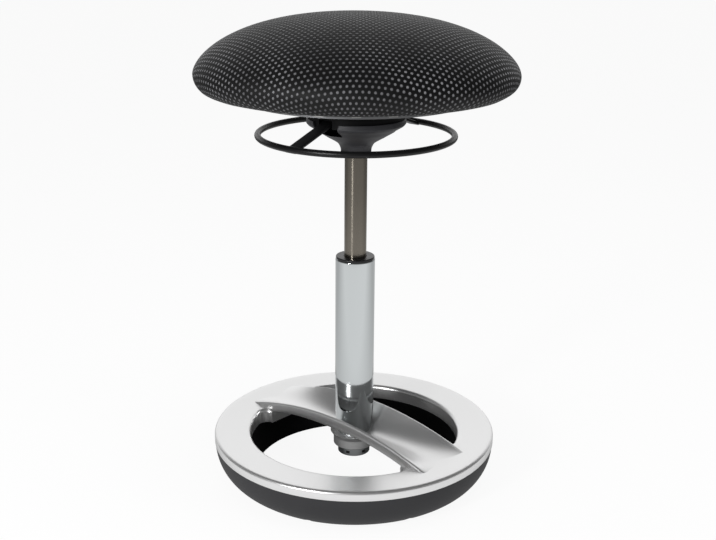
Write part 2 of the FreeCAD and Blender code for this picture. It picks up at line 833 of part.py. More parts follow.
def seat_board():
    """Round plywood board with a rising underside edge."""
    outline = Outline(0, board_bottom)
    outline.line(board_flat_radius, board_bottom)
    outline.line(board_radius - board_edge_round, board_bottom + board_edge_rise)
    outline.arc(
        (board_radius - 0.6, board_bottom + board_edge_rise + 2.6), (board_radius, board_bottom + board_edge_rise + 4),
    )
    outline.line(board_radius - 1, board_top)
    outline.line(0, board_top)
    flange = upright(tee_nut_flange_radius + 0.1, board_top - tee_nut_flange, board_top + 1, bolt_circle)
    barrel = upright(tee_nut_barrel_radius + 0.1, board_bottom - 1, board_top, bolt_circle)
    holes = spaced(flange.fuse(barrel), bolt_count, 45)
    holes += staple_legs(press_clearance)
    return outline.turned().cut(Part.makeCompound(holes))


def crown_point(angle, inset):
    """Point on the seat's crown at an angle from the top, moved inwards by a thickness."""
    side = math.radians(angle)
    power_out = 2 / crown_side_power
    power_up = 2 / crown_top_power
    radius = (cover_radius - inset) * math.sin(side) ** power_out
    height = cover_widest + (cover_top - inset - cover_widest) * math.cos(side) ** power_up
    return (radius, height)


def tuck_point(angle, inset):
    """Point where the cover draws in below its widest line."""
    turn = math.radians(angle)
    inner = cover_turn_radius
    radius = inner + (cover_radius - inset - inner) * math.cos(turn)
    height = cover_widest - (cover_widest - cover_lowest - inset) * math.sin(turn)
    return (radius, height)


def crown_outline(inset, tucks, last_points):
    """Outline of the seat from the top of its crown down over its tucked edge."""
    outline = Outline(0, cover_top - inset)
    turns = [90.0 * step / crown_points for step in range(1, crown_points + 1)]
    outline.spline([crown_point(turn, inset) for turn in turns])
    outline.spline([tuck_point(turn, inset) for turn in tucks])
    for point in last_points:
        outline.line(*point)
    return outline


def hem_height(radius, below):
    """Height of the cover's hem where it runs in under the board."""
    return board_bottom + max(0.0, board_edge_slope * (radius - board_flat_radius)) - soft_gap - below


def seat_foam():
    """Moulded foam pad with a crown and drawn-in sides, sitting over the board."""
    inset = cover_wall + soft_gap
    inner = board_radius + soft_gap
    foot = tuck_point(60, inset)[1]
    under = [(inner, foot), (inner, board_top + soft_gap), (0, board_top + soft_gap)]
    return crown_outline(inset, (30, 60), under).turned()


def seat_cover():
    """Stretch fabric cover pulled over the foam and in under the board."""
    hem = cover_hem_radius
    turn = cover_turn_radius
    under = [(hem, hem_height(hem, cover_wall)), (hem, hem_height(hem, 0)), (0, board_bottom)]
    outside = crown_outline(0, (30, 60, 90), under)
    over = [(turn - 1, hem_height(turn - 1, 0)), (hem - 1, hem_height(hem - 1, 0)), (0, board_bottom - 1)]
    inside = crown_outline(cover_wall, (30, 60, 90), over)
    return outside.turned().cut(inside.turned()).cut(Part.makeCompound(staple_legs(soft_gap)))


def staple_legs(clearance):
    """Legs of all the staples, grown by a clearance to cut their holes with."""
    half = staple_wire / 2 + clearance
    middle = (staple_width - staple_wire) / 2
    bottom = staple_seat() - staple_wire
    legs = [
        Part.makeBox(
            2 * half, 2 * half, staple_leg + clearance,
            FreeCAD.Vector(staple_circle - half, side - half, bottom),
        )
        for side in (-middle, middle)
    ]
    return [leg for pair in (spaced(leg, staple_count) for leg in legs) for leg in pair]


def staple_seat():
    """Height at which the staples lie flat under the sloping hem."""
    return hem_height(staple_circle - staple_wire / 2 - staple_gap, cover_wall) - staple_gap


def cover_staples():
    """Staples that fix the cover's hem to the underside of the board."""
    bar = Part.makeBox(
        staple_wire, staple_width, staple_wire,
        FreeCAD.Vector(staple_circle - staple_wire / 2, -staple_width / 2, staple_seat() - staple_wire),
    )
    legs = staple_legs(0)
    bars = spaced(bar, staple_count)
    staples = [bars[index].fuse([legs[index], legs[index + staple_count]]) for index in range(staple_count)]
    return Part.makeCompound(staples)


# Ring lever


def bar_middle(radius):
    """Height of the lever bar's middle at a distance from the axis."""
    return lever_bar_middle - lever_bar_slope * max(0.0, radius - lever_bar_flat)


def bar_top(radius):
    """Height of the lever bar's top at a distance from the axis."""
    return bar_middle(radius) + lever_bar_thickness / 2 / math.cos(math.atan(lever_bar_slope))


def release_ring():
    """Steel wire ring under the seat that the sitter lifts from any side."""
    return Part.makeTorus(lever_ring_radius, lever_ring_wire, FreeCAD.Vector(0, 0, lever_ring_height))


def release_bar():
    """Flat bar across the ring, bent down to it on both sides, pressing the valve pin."""
    end = lever_ring_radius
    half = lever_bar_thickness / 2
    lean = math.atan(lever_bar_slope)
    knee = half * math.tan(lean / 2)
    rise = half / math.cos(lean)

    def side(sign):
        top = [(end, bar_middle(end) + rise), (lever_bar_flat + knee, lever_bar_middle + half)]
        low = [(lever_bar_flat - knee, lever_bar_middle - half), (end, bar_middle(end) - rise)]
        return [FreeCAD.Vector(sign * radius, -lever_bar_width / 2, height) for radius, height in (top if sign > 0 else low)], \
            [FreeCAD.Vector(sign * radius, -lever_bar_width / 2, height) for radius, height in (low if sign > 0 else top)]

    right_top, right_low = side(1)
    left_low, left_top = side(-1)
    corners = right_top + left_top[::-1] + left_low[::-1] + right_low
    bar = Part.Face(Part.makePolygon(corners + corners[:1])).extrude(FreeCAD.Vector(0, lever_bar_width, 0))
    ring = Part.makeTorus(
        lever_ring_radius, lever_ring_wire + press_clearance, FreeCAD.Vector(0, 0, lever_ring_height),
    )
    pieces = turned_to(bar, lever_angle).cut(ring).Solids
    return max(pieces, key=lambda piece: piece.Volume)


pieces = {
    "base_casting": base_casting,
    "rocker_ring": rocker_ring,
    "rocker_screws": rocker_screws,
    "lift_tube": lift_tube,
    "tube_end_plate": tube_end_plate,
    "guide_bush": guide_bush,
    "lower_bearing_race": lower_race,
    "bearing_cage": bearing_cage,
    "bearing_balls": bearing_balls,
    "upper_bearing_race": upper_race,
    "piston_rod": piston_rod,
    "rod_clip": rod_clip,
    "piston": piston,
    "rubber_bumper": rubber_bumper,
    "gas_cylinder": gas_cylinder,
    "rod_guide": rod_guide,
    "valve_body": valve_body,
    "valve_pin": valve_pin,
    "seat_socket": seat_socket,
    "mechanism_cup": mechanism_cup,
    "shroud_cone": shroud_cone,
    "seat_plate": seat_plate,
    "plate_bolts": plate_bolts,
    "tee_nuts": tee_nuts,
    "seat_board": seat_board,
    "seat_foam": seat_foam,
    "seat_cover": seat_cover,
    "cover_staples": cover_staples,
    "release_ring": release_ring,
    "release_bar": release_bar,
}

os.makedirs("parts", exist_ok=True)
for name, build in pieces.items():
    shape = build()
    box = shape.BoundBox
    print(
        f"{name:20s} solids {len(shape.Solids):3d} valid {shape.isValid()} "
        f"z {box.ZMin:7.2f} {box.ZMax:7.2f} width {box.XLength:7.2f} volume {shape.Volume / 1000:8.2f} cm3"
    )
    shape.exportStep(f"parts/{name}.step")
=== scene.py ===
"""Dressed scene of a wobble stool: polished ring base, gas lift, ring lever and domed seat."""

import logging
import math
from dataclasses import dataclass
from enum import Enum
from typing import Any, Callable, Sequence

import bpy
from mathutils import Matrix, Vector


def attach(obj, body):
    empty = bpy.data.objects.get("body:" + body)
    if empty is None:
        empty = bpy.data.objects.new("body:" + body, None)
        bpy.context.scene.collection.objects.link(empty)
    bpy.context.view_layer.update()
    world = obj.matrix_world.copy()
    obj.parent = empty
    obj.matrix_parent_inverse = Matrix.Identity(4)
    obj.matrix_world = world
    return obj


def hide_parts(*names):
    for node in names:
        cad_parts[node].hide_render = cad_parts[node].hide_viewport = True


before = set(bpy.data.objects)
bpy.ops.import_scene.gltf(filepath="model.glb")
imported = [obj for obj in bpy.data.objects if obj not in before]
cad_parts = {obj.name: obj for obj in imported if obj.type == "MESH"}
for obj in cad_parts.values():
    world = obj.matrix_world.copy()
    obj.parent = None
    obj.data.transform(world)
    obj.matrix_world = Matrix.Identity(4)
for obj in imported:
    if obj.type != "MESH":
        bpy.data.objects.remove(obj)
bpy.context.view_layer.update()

log = logging.getLogger("stool")

Point = tuple[float, float, float]
Flat = tuple[float, float]
Corner = tuple[float, float, float]
Socket = tuple[bpy.types.Node, str]


# Small tools


def metres(value: float) -> float:
    """Turns millimetres into metres."""
    return value / 1000.0


def linear(colour: str) -> tuple[float, float, float, float]:
    """Turns an sRGB hex colour into linear values.

    Args:
        colour: Six hex digits.

    Returns:
        Red, green, blue and alpha.
    """
    parts = [int(colour[at:at + 2], 16) / 255.0 for at in (0, 2, 4)]
    red, green, blue = [p / 12.92 if p <= 0.04045 else ((p + 0.055) / 1.055) ** 2.4 for p in parts]
    return red, green, blue, 1.0


def deselect() -> None:
    """Leaves object mode with nothing selected."""
    if bpy.context.object and bpy.context.object.mode != "OBJECT":
        bpy.ops.object.mode_set(mode="OBJECT")
    bpy.ops.object.select_all(action="DESELECT")


def pick(piece: bpy.types.Object) -> None:
    """Makes one object the only selected and active one."""
    deselect()
    piece.select_set(True)
    bpy.context.view_layer.objects.active = piece


def edit(piece: bpy.types.Object, mode: str = "FACE") -> None:
    """Opens a piece in edit mode with nothing selected.

    Args:
        piece: The object to edit.
        mode: VERT, EDGE or FACE.
    """
    pick(piece)
    bpy.ops.object.mode_set(mode="EDIT")
    bpy.ops.mesh.select_mode(type=mode)
    bpy.ops.mesh.select_all(action="DESELECT")


def close(piece: bpy.types.Object, merge: float = 0.002) -> None:
    """Merges doubles, fills open ends and turns the faces outwards.

    Args:
        piece: The object to close.
        merge: Merging distance in millimetres.
    """
    edit(piece, "VERT")
    bpy.ops.mesh.select_all(action="SELECT")
    bpy.ops.mesh.remove_doubles(threshold=metres(merge))
    bpy.ops.mesh.select_all(action="SELECT")
    bpy.ops.mesh.fill_holes(sides=0)
    bpy.ops.mesh.select_all(action="SELECT")
    bpy.ops.mesh.normals_make_consistent(inside=False)
    bpy.ops.object.mode_set(mode="OBJECT")


def smooth(piece: bpy.types.Object, degrees: float = 35.0) -> None:
    """Shades a piece smooth, except over edges sharper than an angle."""
    pick(piece)
    bpy.ops.object.shade_smooth_by_angle(angle=math.radians(degrees))


def settle(piece: bpy.types.Object) -> None:
    """Moves a piece's place into its mesh, so that its object sits at the origin."""
    pick(piece)
    bpy.ops.object.transform_apply(location=True, rotation=True, scale=True)


def turn_mesh(piece: bpy.types.Object, degrees: float) -> None:
    """Turns a piece's mesh about the column."""
    piece.data.transform(Matrix.Rotation(math.radians(degrees), 4, "Z"))
    piece.data.update()


def lofted(
    name: str, sections: Sequence[Sequence[Point]], around: bool = False, ring: bool = True,
) -> bpy.types.Object:
    """Draws a grid out over the sections of a form.

    Args:
        name: Name of the piece.
        sections: Sections in order, each with the same number of points, in millimetres.
        around: Whether the last section meets the first.
        ring: Whether each section is a closed ring.

    Returns:
        The closed piece.
    """
    rows = [list(section) + ([section[0]] if ring else []) for section in sections]
    if around:
        rows.append(rows[0])
    deselect()
    bpy.ops.mesh.primitive_grid_add(
        x_subdivisions=len(rows[0]) - 1, y_subdivisions=len(rows) - 1, size=1, location=(0, 0, 0),
    )
    piece = bpy.context.object
    piece.name = name
    flat = [metres(value) for row in rows for point in row for value in point]
    piece.data.vertices.foreach_set("co", flat)
    close(piece)
    return piece


def turned(name: str, profile: Sequence[Flat], steps: int = 96, ring: bool = True) -> bpy.types.Object:
    """Spins a profile about the column.

    Args:
        name: Name of the piece.
        profile: Radius and height of each point, in millimetres.
        steps: Steps of the spin.
        ring: Whether the profile is closed; an open one starts and ends on the axis.

    Returns:
        The closed piece.
    """
    deselect()
    bpy.ops.mesh.primitive_circle_add(vertices=len(profile), radius=metres(10), location=(0, 0, 0))
    piece = bpy.context.object
    piece.name = name
    for vertex, (radius, height) in zip(piece.data.vertices, profile):
        vertex.co = (metres(radius), 0.0, metres(height))
    edit(piece, "EDGE")
    if not ring:
        bpy.ops.object.mode_set(mode="OBJECT")
        ends = {0, len(profile) - 1}
        for edge in piece.data.edges:
            edge.select = set(edge.vertices) == ends
        bpy.ops.object.mode_set(mode="EDIT")
        bpy.ops.mesh.delete(type="EDGE")
    bpy.ops.mesh.select_all(action="SELECT")
    bpy.ops.mesh.spin(steps=steps, angle=math.tau, center=(0, 0, 0), axis=(0, 0, 1))
    bpy.ops.object.mode_set(mode="OBJECT")
    close(piece)
    return piece


def rounded(corners: Sequence[Corner], segments: int = 6) -> list[Flat]:
    """Rounds the corners of a closed outline.

    Args:
        corners: Radius, height and rounding of each corner, in millimetres.
        segments: Segments of each rounding.

    Returns:
        Points of the rounded outline.
    """
    points: list[Flat] = []
    count = len(corners)
    for at, (x, z, radius) in enumerate(corners):
        if radius <= 0:
            points.append((x, z))
            continue
        here = Vector((x, z))
        before = (Vector(corners[at - 1][:2]) - here).normalized()
        after = (Vector(corners[(at + 1) % count][:2]) - here).normalized()
        half = before.angle(after) / 2
        reach = radius / math.tan(half)
        centre = here + (before + after).normalized() * (radius / math.sin(half))
        start = here + before * reach - centre
        swing = start.angle_signed(here + after * reach - centre)
        for step in range(segments + 1):
            spoke = start.copy()
            spoke.rotate(Matrix.Rotation(-swing * step / segments, 2))
            points.append(tuple(centre + spoke))
    return points


def cut(piece: bpy.types.Object, cutters: Sequence[bpy.types.Object]) -> None:
    """Cuts pieces out of another and removes the cutters."""
    for cutter in cutters:
        pick(piece)
        modifier = piece.modifiers.new("cut", "BOOLEAN")
        modifier.operation = "DIFFERENCE"
        modifier.solver = "EXACT"
        modifier.object = cutter
        bpy.ops.object.modifier_apply(modifier=modifier.name)
        bpy.data.objects.remove(cutter)


def bevelled(piece: bpy.types.Object, width: float, segments: int = 2, degrees: float = 40.0) -> None:
    """Breaks the sharp edges of a piece.

    Args:
        piece: The piece.
        width: Width of the broken edge in millimetres.
        segments: Segments across it.
        degrees: Smallest angle of an edge that is broken.
    """
    pick(piece)
    modifier = piece.modifiers.new("edge", "BEVEL")
    modifier.width = metres(width)
    modifier.segments = segments
    modifier.limit_method = "ANGLE"
    modifier.angle_limit = math.radians(degrees)
    modifier.harden_normals = False
    bpy.ops.object.modifier_apply(modifier=modifier.name)


def block(low: Point, high: Point, degrees: float = 0.0) -> bpy.types.Object:
    """Adds a box between two corners in millimetres, turned about the column."""
    deselect()
    middle = [metres((a + b) / 2) for a, b in zip(low, high)]
    bpy.ops.mesh.primitive_cube_add(size=1, location=(0, 0, 0))
    piece = bpy.context.object
    for vertex in piece.data.vertices:
        vertex.co = [metres(b - a) * c + m for a, b, c, m in zip(low, high, vertex.co, middle)]
    turn_mesh(piece, degrees)
    return piece


# Nodes and finishes


def add_node(
    tree: bpy.types.NodeTree, kind: str, settings: dict[Any, Any] | None = None,
    links: dict[Any, Socket] | None = None,
) -> bpy.types.Node:
    """Adds a node with its settings and links.

    Args:
        tree: The node tree.
        kind: The node's type.
        settings: Properties in lower case, and sockets by capitalised name or number.
        links: For each socket, the node and output that feed it.

    Returns:
        The new node.
    """
    node = tree.nodes.new(kind)
    for key, value in (settings or {}).items():
        if isinstance(key, int) or key[0].isupper():
            node.inputs[key].default_value = value
        else:
            setattr(node, key, value)
    for key, (source, output) in (links or {}).items():
        tree.links.new(source.outputs[output], node.inputs[key])
    return node


def ramp(node: bpy.types.Node, stops: Sequence[tuple[float, tuple[float, float, float, float]]]) -> None:
    """Sets the stops of a colour ramp."""
    elements = node.color_ramp.elements
    while len(elements) < len(stops):
        elements.new(0.5)
    for element, (position, colour) in zip(elements, stops):
        element.position = position
        element.color = colour


class Grain(Enum):
    """Directions that the fine marks of a finish run in."""

    EVEN = (1.0, 1.0, 1.0)
    UPRIGHT = (1.0, 1.0, 0.03)
    LEVEL = (0.04, 0.04, 1.0)


@dataclass(frozen=True)
class Finish:
    """A surface: what it is made of and how it was made."""

    name: str
    colour: str
    roughness: float
    metallic: float = 0.0
    mark_size: float = 1.0
    mark_depth: float = 0.01
    roughness_swing: float = 0.05
    grain: Grain = Grain.EVEN
    tone_swing: float = 0.06
    tone_size: float = 60.0
    gloss: float = 0.5
    drawn_out: float = 0.0

    def material(self) -> bpy.types.Material:
        """Makes the finish's material, or returns the one already made."""
        found = bpy.data.materials.get(self.name)
        if found:
            return found
        made = bpy.data.materials.new(self.name)
        made.use_nodes = True
        tree = made.node_tree
        shader = tree.nodes["Principled BSDF"]
        shader.inputs["Base Color"].default_value = linear(self.colour)
        shader.inputs["Metallic"].default_value = self.metallic
        shader.inputs["Roughness"].default_value = self.roughness
        shader.inputs["Specular IOR Level"].default_value = self.gloss
        if self.drawn_out:
            shader.inputs["Anisotropic"].default_value = self.drawn_out
            shader.inputs["Anisotropic Rotation"].default_value = 0.25
            tangent = add_node(tree, "ShaderNodeTangent", {"direction_type": "RADIAL", "axis": "Z"})
            tree.links.new(tangent.outputs["Tangent"], shader.inputs["Tangent"])
        self.dress(tree, shader)
        return made

    def place(self, tree: bpy.types.NodeTree) -> Socket:
        """Returns the object coordinates in millimetres, drawn out along the grain."""
        where = add_node(tree, "ShaderNodeTexCoord")
        scale = [1000.0 * part for part in self.grain.value]
        mapping = add_node(tree, "ShaderNodeMapping", {"Scale": scale}, {"Vector": (where, "Object")})
        return mapping, "Vector"

    def dress(self, tree: bpy.types.NodeTree, shader: bpy.types.Node) -> None:
        """Adds fine marks, haze and slow changes of tone.

        Args:
            tree: The material's nodes.
            shader: Its surface shader.
        """
        where = self.place(tree)
        marks = add_node(
            tree, "ShaderNodeTexNoise", {"Scale": 1.0 / self.mark_size, "Detail": 3.0}, {"Vector": where},
        )
        haze = add_node(
            tree, "ShaderNodeMapRange",
            {"To Min": self.roughness - self.roughness_swing,
             "To Max": self.roughness + self.roughness_swing},
            {"Value": (marks, "Fac")},
        )
        tree.links.new(haze.outputs["Result"], shader.inputs["Roughness"])
        slow = add_node(
            tree, "ShaderNodeTexNoise", {"Scale": 1.0 / self.tone_size, "Detail": 2.0}, {"Vector": where},
        )
        base = linear(self.colour)
        tone = add_node(tree, "ShaderNodeValToRGB", links={"Fac": (slow, "Fac")})
        ramp(tone, [
            (0.3, tuple(part * (1 - self.tone_swing) for part in base[:3]) + (1.0,)),
            (0.7, tuple(min(1.0, part * (1 + self.tone_swing)) for part in base[:3]) + (1.0,)),
        ])
        tree.links.new(tone.outputs["Color"], shader.inputs["Base Color"])
        bump = add_node(
            tree, "ShaderNodeBump", {"Strength": 1.0, "Distance": metres(self.mark_depth)},
            {"Height": (marks, "Fac")},
        )
        tree.links.new(bump.outputs["Normal"], shader.inputs["Normal"])


@dataclass(frozen=True)
class LinedPlastic(Finish):
    """Moulded plastic with fine level lines left by the turned mould."""

    line_pitch: float = 1.5
    line_depth: float = 0.06

    def dress(self, tree: bpy.types.NodeTree, shader: bpy.types.Node) -> None:
        """Adds the mould's lines over the moulded grain."""
        super().dress(tree, shader)
        where = add_node(tree, "ShaderNodeTexCoord")
        lines = add_node(
            tree, "ShaderNodeTexWave",
            {"wave_type": "BANDS", "bands_direction": "Z", "Scale": math.tau / 20 / metres(self.line_pitch),
             "Distortion": 0.0},
            {"Vector": (where, "Object")},
        )
        first = shader.inputs["Normal"].links[0].from_node
        bump = add_node(
            tree, "ShaderNodeBump", {"Strength": 1.0, "Distance": metres(self.line_depth)},
            {"Height": (lines, "Fac"), "Normal": (first, "Normal")},
        )
        tree.links.new(bump.outputs["Normal"], shader.inputs["Normal"])


@dataclass(frozen=True)
class DottedFabric(Finish):
    """Stretch knit with raised dots on a staggered grid."""

    dot_colour: str = "7a7a7d"
    dot_roughness: float = 0.38
    crown_share: float = 0.4
    pale_from: float = 110.0
    pale_to: float = 215.0
    smudge_size: float = 75.0
    dot_pitch: float = 7.2
    dot_radius: float = 2.1
    dot_height: float = 0.35
    dot_crown: float = 0.45
    yarn: float = 0.9
    yarn_height: float = 0.12
    rubbed_share: float = 0.45

    def dots(self, tree: bpy.types.NodeTree, where: Socket, shift: float) -> Socket:
        """Returns the distance to the nearest dot of one half of the staggered grid.

        Args:
            tree: The material's nodes.
            where: Place on the cloth in metres.
            shift: 0 for the first half, 0.5 for the half between its dots.
        """
        cell = (metres(self.dot_pitch), metres(self.dot_pitch) * math.sqrt(3.0), 1.0)
        counted = add_node(
            tree, "ShaderNodeVectorMath", {"operation": "DIVIDE", 1: cell}, {0: where},
        )
        moved = add_node(
            tree, "ShaderNodeVectorMath", {"operation": "ADD", 1: (0.5 + shift, 0.5 + shift, 0.0)},
            {0: (counted, "Vector")},
        )
        wrapped = add_node(tree, "ShaderNodeVectorMath", {"operation": "FRACTION"}, {0: (moved, "Vector")})
        centred = add_node(
            tree, "ShaderNodeVectorMath", {"operation": "SUBTRACT", 1: (0.5, 0.5, 0.0)},
            {0: (wrapped, "Vector")},
        )
        sized = add_node(
            tree, "ShaderNodeVectorMath", {"operation": "MULTIPLY", 1: (cell[0], cell[1], 0.0)},
            {0: (centred, "Vector")},
        )
        away = add_node(tree, "ShaderNodeVectorMath", {"operation": "LENGTH"}, {0: (sized, "Vector")})
        return away, "Value"

    def dress(self, tree: bpy.types.NodeTree, shader: bpy.types.Node) -> None:
        """Adds the raised dots, the yarn between them, a slow change of tone and painted shade that dims the
        dots toward the crown.
        """
        cloth = add_node(tree, "ShaderNodeUVMap", {"uv_map": "cloth"})
        place = (cloth, "UV")
        nearest = add_node(
            tree, "ShaderNodeMath", {"operation": "MINIMUM"},
            {0: self.dots(tree, place, 0.0), 1: self.dots(tree, place, 0.5)},
        )
        dot = add_node(
            tree, "ShaderNodeMapRange",
            {"interpolation_type": "SMOOTHSTEP", "From Min": metres(self.dot_radius),
             "From Max": metres(self.dot_radius * self.dot_crown)},
            {"Value": (nearest, "Value")},
        )
        yarn = add_node(
            tree, "ShaderNodeTexNoise", {"Scale": 1000.0 / self.yarn, "Detail": 2.0, "Roughness": 0.6},
            {"Vector": place},
        )
        slow = add_node(
            tree, "ShaderNodeTexNoise", {"Scale": 1000.0 / self.tone_size, "Detail": 2.0}, {"Vector": place},
        )
        ground = add_node(tree, "ShaderNodeValToRGB", links={"Fac": (slow, "Fac")})
        base = linear(self.colour)
        ramp(ground, [
            (0.3, tuple(part * (1 - self.tone_swing) for part in base[:3]) + (1.0,)),
            (0.7, tuple(part * (1 + self.tone_swing) for part in base[:3]) + (1.0,)),
        ])
        reach = add_node(tree, "ShaderNodeVectorMath", {"operation": "LENGTH"}, {0: place})
        # Painted shade: the dots fade toward the crown's top, down to crown_share of their colour.
        crown_shade = add_node(
            tree, "ShaderNodeMapRange",
            {"interpolation_type": "SMOOTHSTEP", "From Min": metres(self.pale_from),
             "From Max": metres(self.pale_to), "To Min": self.crown_share},
            {"Value": (reach, "Value")},
        )
        smudge = add_node(
            tree, "ShaderNodeTexNoise", {"Scale": 1000.0 / self.smudge_size, "Detail": 1.0},
            {"Vector": place},
        )
        rubbed = add_node(
            tree, "ShaderNodeMapRange", {"From Min": 0.35, "From Max": 0.65, "To Min": self.rubbed_share},
            {"Value": (smudge, "Fac")},
        )
        share = add_node(
            tree, "ShaderNodeMath", {"operation": "MULTIPLY"}, {0: (crown_shade, "Result"), 1: (rubbed, "Result")},
        )
        shown = add_node(
            tree, "ShaderNodeMath", {"operation": "MULTIPLY"}, {0: (share, "Value"), 1: (dot, "Result")},
        )
        coloured = add_node(
            tree, "ShaderNodeMix", {"data_type": "RGBA", 7: linear(self.dot_colour)},
            {0: (shown, "Value"), 6: (ground, "Color")},
        )
        glint = add_node(
            tree, "ShaderNodeMapRange", {"To Min": self.roughness, "To Max": self.dot_roughness},
            {"Value": (dot, "Result")},
        )
        tree.links.new(glint.outputs["Result"], shader.inputs["Roughness"])
        tree.links.new(coloured.outputs[2], shader.inputs["Base Color"])
        raised = add_node(
            tree, "ShaderNodeBump", {"Strength": 1.0, "Distance": metres(self.dot_height)},
            {"Height": (dot, "Result")},
        )
        knitted = add_node(
            tree, "ShaderNodeBump", {"Strength": 0.6, "Distance": metres(self.yarn_height)},
            {"Height": (yarn, "Fac"), "Normal": (raised, "Normal")},
        )
        tree.links.new(knitted.outputs["Normal"], shader.inputs["Normal"])


@dataclass(frozen=True)
class Plywood(Finish):
    """Sanded plywood face with drawn-out grain."""

    grain_length: float = 50.0
    grain_width: float = 3.85
    ply: float = 1.25
    grain_depth: float = 0.05

    def dress(self, tree: bpy.types.NodeTree, shader: bpy.types.Node) -> None:
        """Adds long grain streaks and the plies at the edge."""
        where = add_node(tree, "ShaderNodeTexCoord")
        mapping = add_node(
            tree, "ShaderNodeMapping",
            {"Scale": [1000.0 / size for size in (self.grain_length, self.grain_width, self.ply)]},
            {"Vector": (where, "Object")},
        )
        grain = add_node(
            tree, "ShaderNodeTexNoise", {"Scale": 1.0, "Detail": 5.0, "Distortion": 0.4},
            {"Vector": (mapping, "Vector")},
        )
        tone = add_node(tree, "ShaderNodeValToRGB", links={"Fac": (grain, "Fac")})
        base = linear(self.colour)
        ramp(tone, [
            (0.3, tuple(part * 0.7 for part in base[:3]) + (1.0,)),
            (0.7, tuple(min(1.0, part * 1.15) for part in base[:3]) + (1.0,)),
        ])
        tree.links.new(tone.outputs["Color"], shader.inputs["Base Color"])
        bump = add_node(
            tree, "ShaderNodeBump", {"Strength": 1.0, "Distance": metres(self.grain_depth)},
            {"Height": (grain, "Fac")},
        )
        tree.links.new(bump.outputs["Normal"], shader.inputs["Normal"])


# Cast aluminium, ground and buffed: near mirror with a faint haze and slow waves of the casting
POLISHED_ALUMINIUM = Finish(
    "polished_aluminium", "d9dadc", 0.08, 1.0, 9.0, 0.012, 0.04, tone_swing=0.07, tone_size=35.0,
)
# Bright chrome plate over drawn steel tube: a hard mirror with upright draw marks
CHROME_PLATE = Finish("chrome_plate", "c3c7c8", 0.05, 1.0, 1.2, 0.001, 0.02, Grain.UPRIGHT, 0.03)
# Ground steel column: satin with fine level grinding marks
GROUND_STEEL = Finish(
    "ground_steel", "8b857b", 0.22, 1.0, 0.5, 0.001, 0.05, Grain.LEVEL, 0.05, drawn_out=0.88,
)
# Zinc-plated pressed steel: pale grey, a little cloudy
ZINC_PLATE = Finish("zinc_plate", "c9c9c6", 0.34, 1.0, 2.0, 0.004, 0.08)
# Pressed plate under the seat: the same zinc, dulled, and darkened by painted shade as out of the light
SHADED_PRESSED_PLATE = Finish("shaded_pressed_plate", "8f9092", 0.42, 1.0, 2.0, 0.006, 0.08)
# Hardened bearing steel: bright and finely ground
BEARING_STEEL = Finish("bearing_steel", "c4c4c6", 0.16, 1.0, 0.6, 0.001, 0.04)
# Black powder coat over wire and pressed steel: satin with orange peel
POWDER_COAT = Finish("powder_coat", "0f0f10", 0.36, 0.0, 0.9, 0.02, 0.06, tone_swing=0.1, gloss=0.3)
# The cup over the shroud: the same coat, darkened by painted shade for its unlit corner
SHADED_CUP_COAT = Finish("shaded_cup_coat", "070708", 0.45, 0.0, 0.9, 0.02, 0.06, tone_swing=0.1, gloss=0.12)
# Dark moulded polypropylene: matt with a fine spark-eroded grain
MOULDED_PLASTIC = Finish("moulded_plastic", "333335", 0.55, 0.0, 0.45, 0.012, 0.05, gloss=0.3)
# The same plastic inside the ring, unpolished mould, darkened to near black by painted shade as out of the
# light
SHADED_PLASTIC = Finish("shaded_plastic", "0b0b0c", 0.6, 0.0, 0.6, 0.01, 0.05, gloss=0.12)
# Steel inside the tube and of its end plate, darkened to black by painted shade for the shade inside the tube
SHADED_TUBE_STEEL = Finish("shaded_tube_steel", "161617", 0.5, 0.0, 0.8, 0.01, 0.06, gloss=0.25)
# Black acetal of the collar: smooth, faintly waxy
BLACK_ACETAL = Finish("black_acetal", "121214", 0.36, 0.0, 0.6, 0.004, 0.05)
# Pale nylon of cage, piston and guide
PALE_NYLON = Finish("pale_nylon", "d8d3c4", 0.45, 0.0, 0.8, 0.006, 0.05)
# Black rubber buffer
BLACK_RUBBER = Finish("black_rubber", "1b1b1b", 0.7, 0.0, 0.6, 0.02, 0.08)
# Cut foam block: open cells under a millimetre, drawn a little coarser to show
CUT_FOAM = Finish("cut_foam", "cfc6a4", 0.9, 0.0, 1.4, 0.4, 0.04)
# Dark shroud: the same plastic with the level lines of its turned mould
SHROUD_PLASTIC = LinedPlastic("shroud_plastic", "353538", 0.48, 0.0, 0.5, 0.01, 0.05, gloss=0.3)
# Beech plywood, stained black-brown
STAINED_PLY = Plywood("stained_ply", "2b2724", 0.6, gloss=0.25)
# Stretch knit, near black and matt, with lighter, glossier raised dots that are rubbed in places and dimmed
# toward the crown by painted shade
DOTTED_KNIT = DottedFabric("dotted_knit", "0b0b0c", 0.62, tone_swing=0.15, tone_size=90.0, gloss=0.26)


def dressed(piece: bpy.types.Object, finish: Finish, body: str, slot: str, *nodes: str) -> bpy.types.Object:
    """Gives a new piece its finish, its body and the nodes that it stands for.

    Args:
        piece: The piece.
        finish: Its finish.
        body: The body it moves with.
        slot: The record's material slot; not used.
        nodes: The nodes that it replaces.

    Returns:
        The same piece.
    """
    settle(piece)
    piece.data.materials.clear()
    piece.data.materials.append(finish.material())
    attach(piece, body)
    if nodes:
        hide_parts(*nodes)
    log.info("%s: %d faces on %s", piece.name, len(piece.data.polygons), body)
    return piece


def two_tone(piece: bpy.types.Object, finish: Finish, where: Callable[[Vector], bool]) -> None:
    """Gives the faces of a piece that lie in one place a second finish.

    Args:
        piece: The piece, already dressed.
        finish: The second finish.
        where: Says from a face's middle whether it gets it.
    """
    piece.data.materials.append(finish.material())
    for polygon in piece.data.polygons:
        if where(polygon.center):
            polygon.material_index = 1


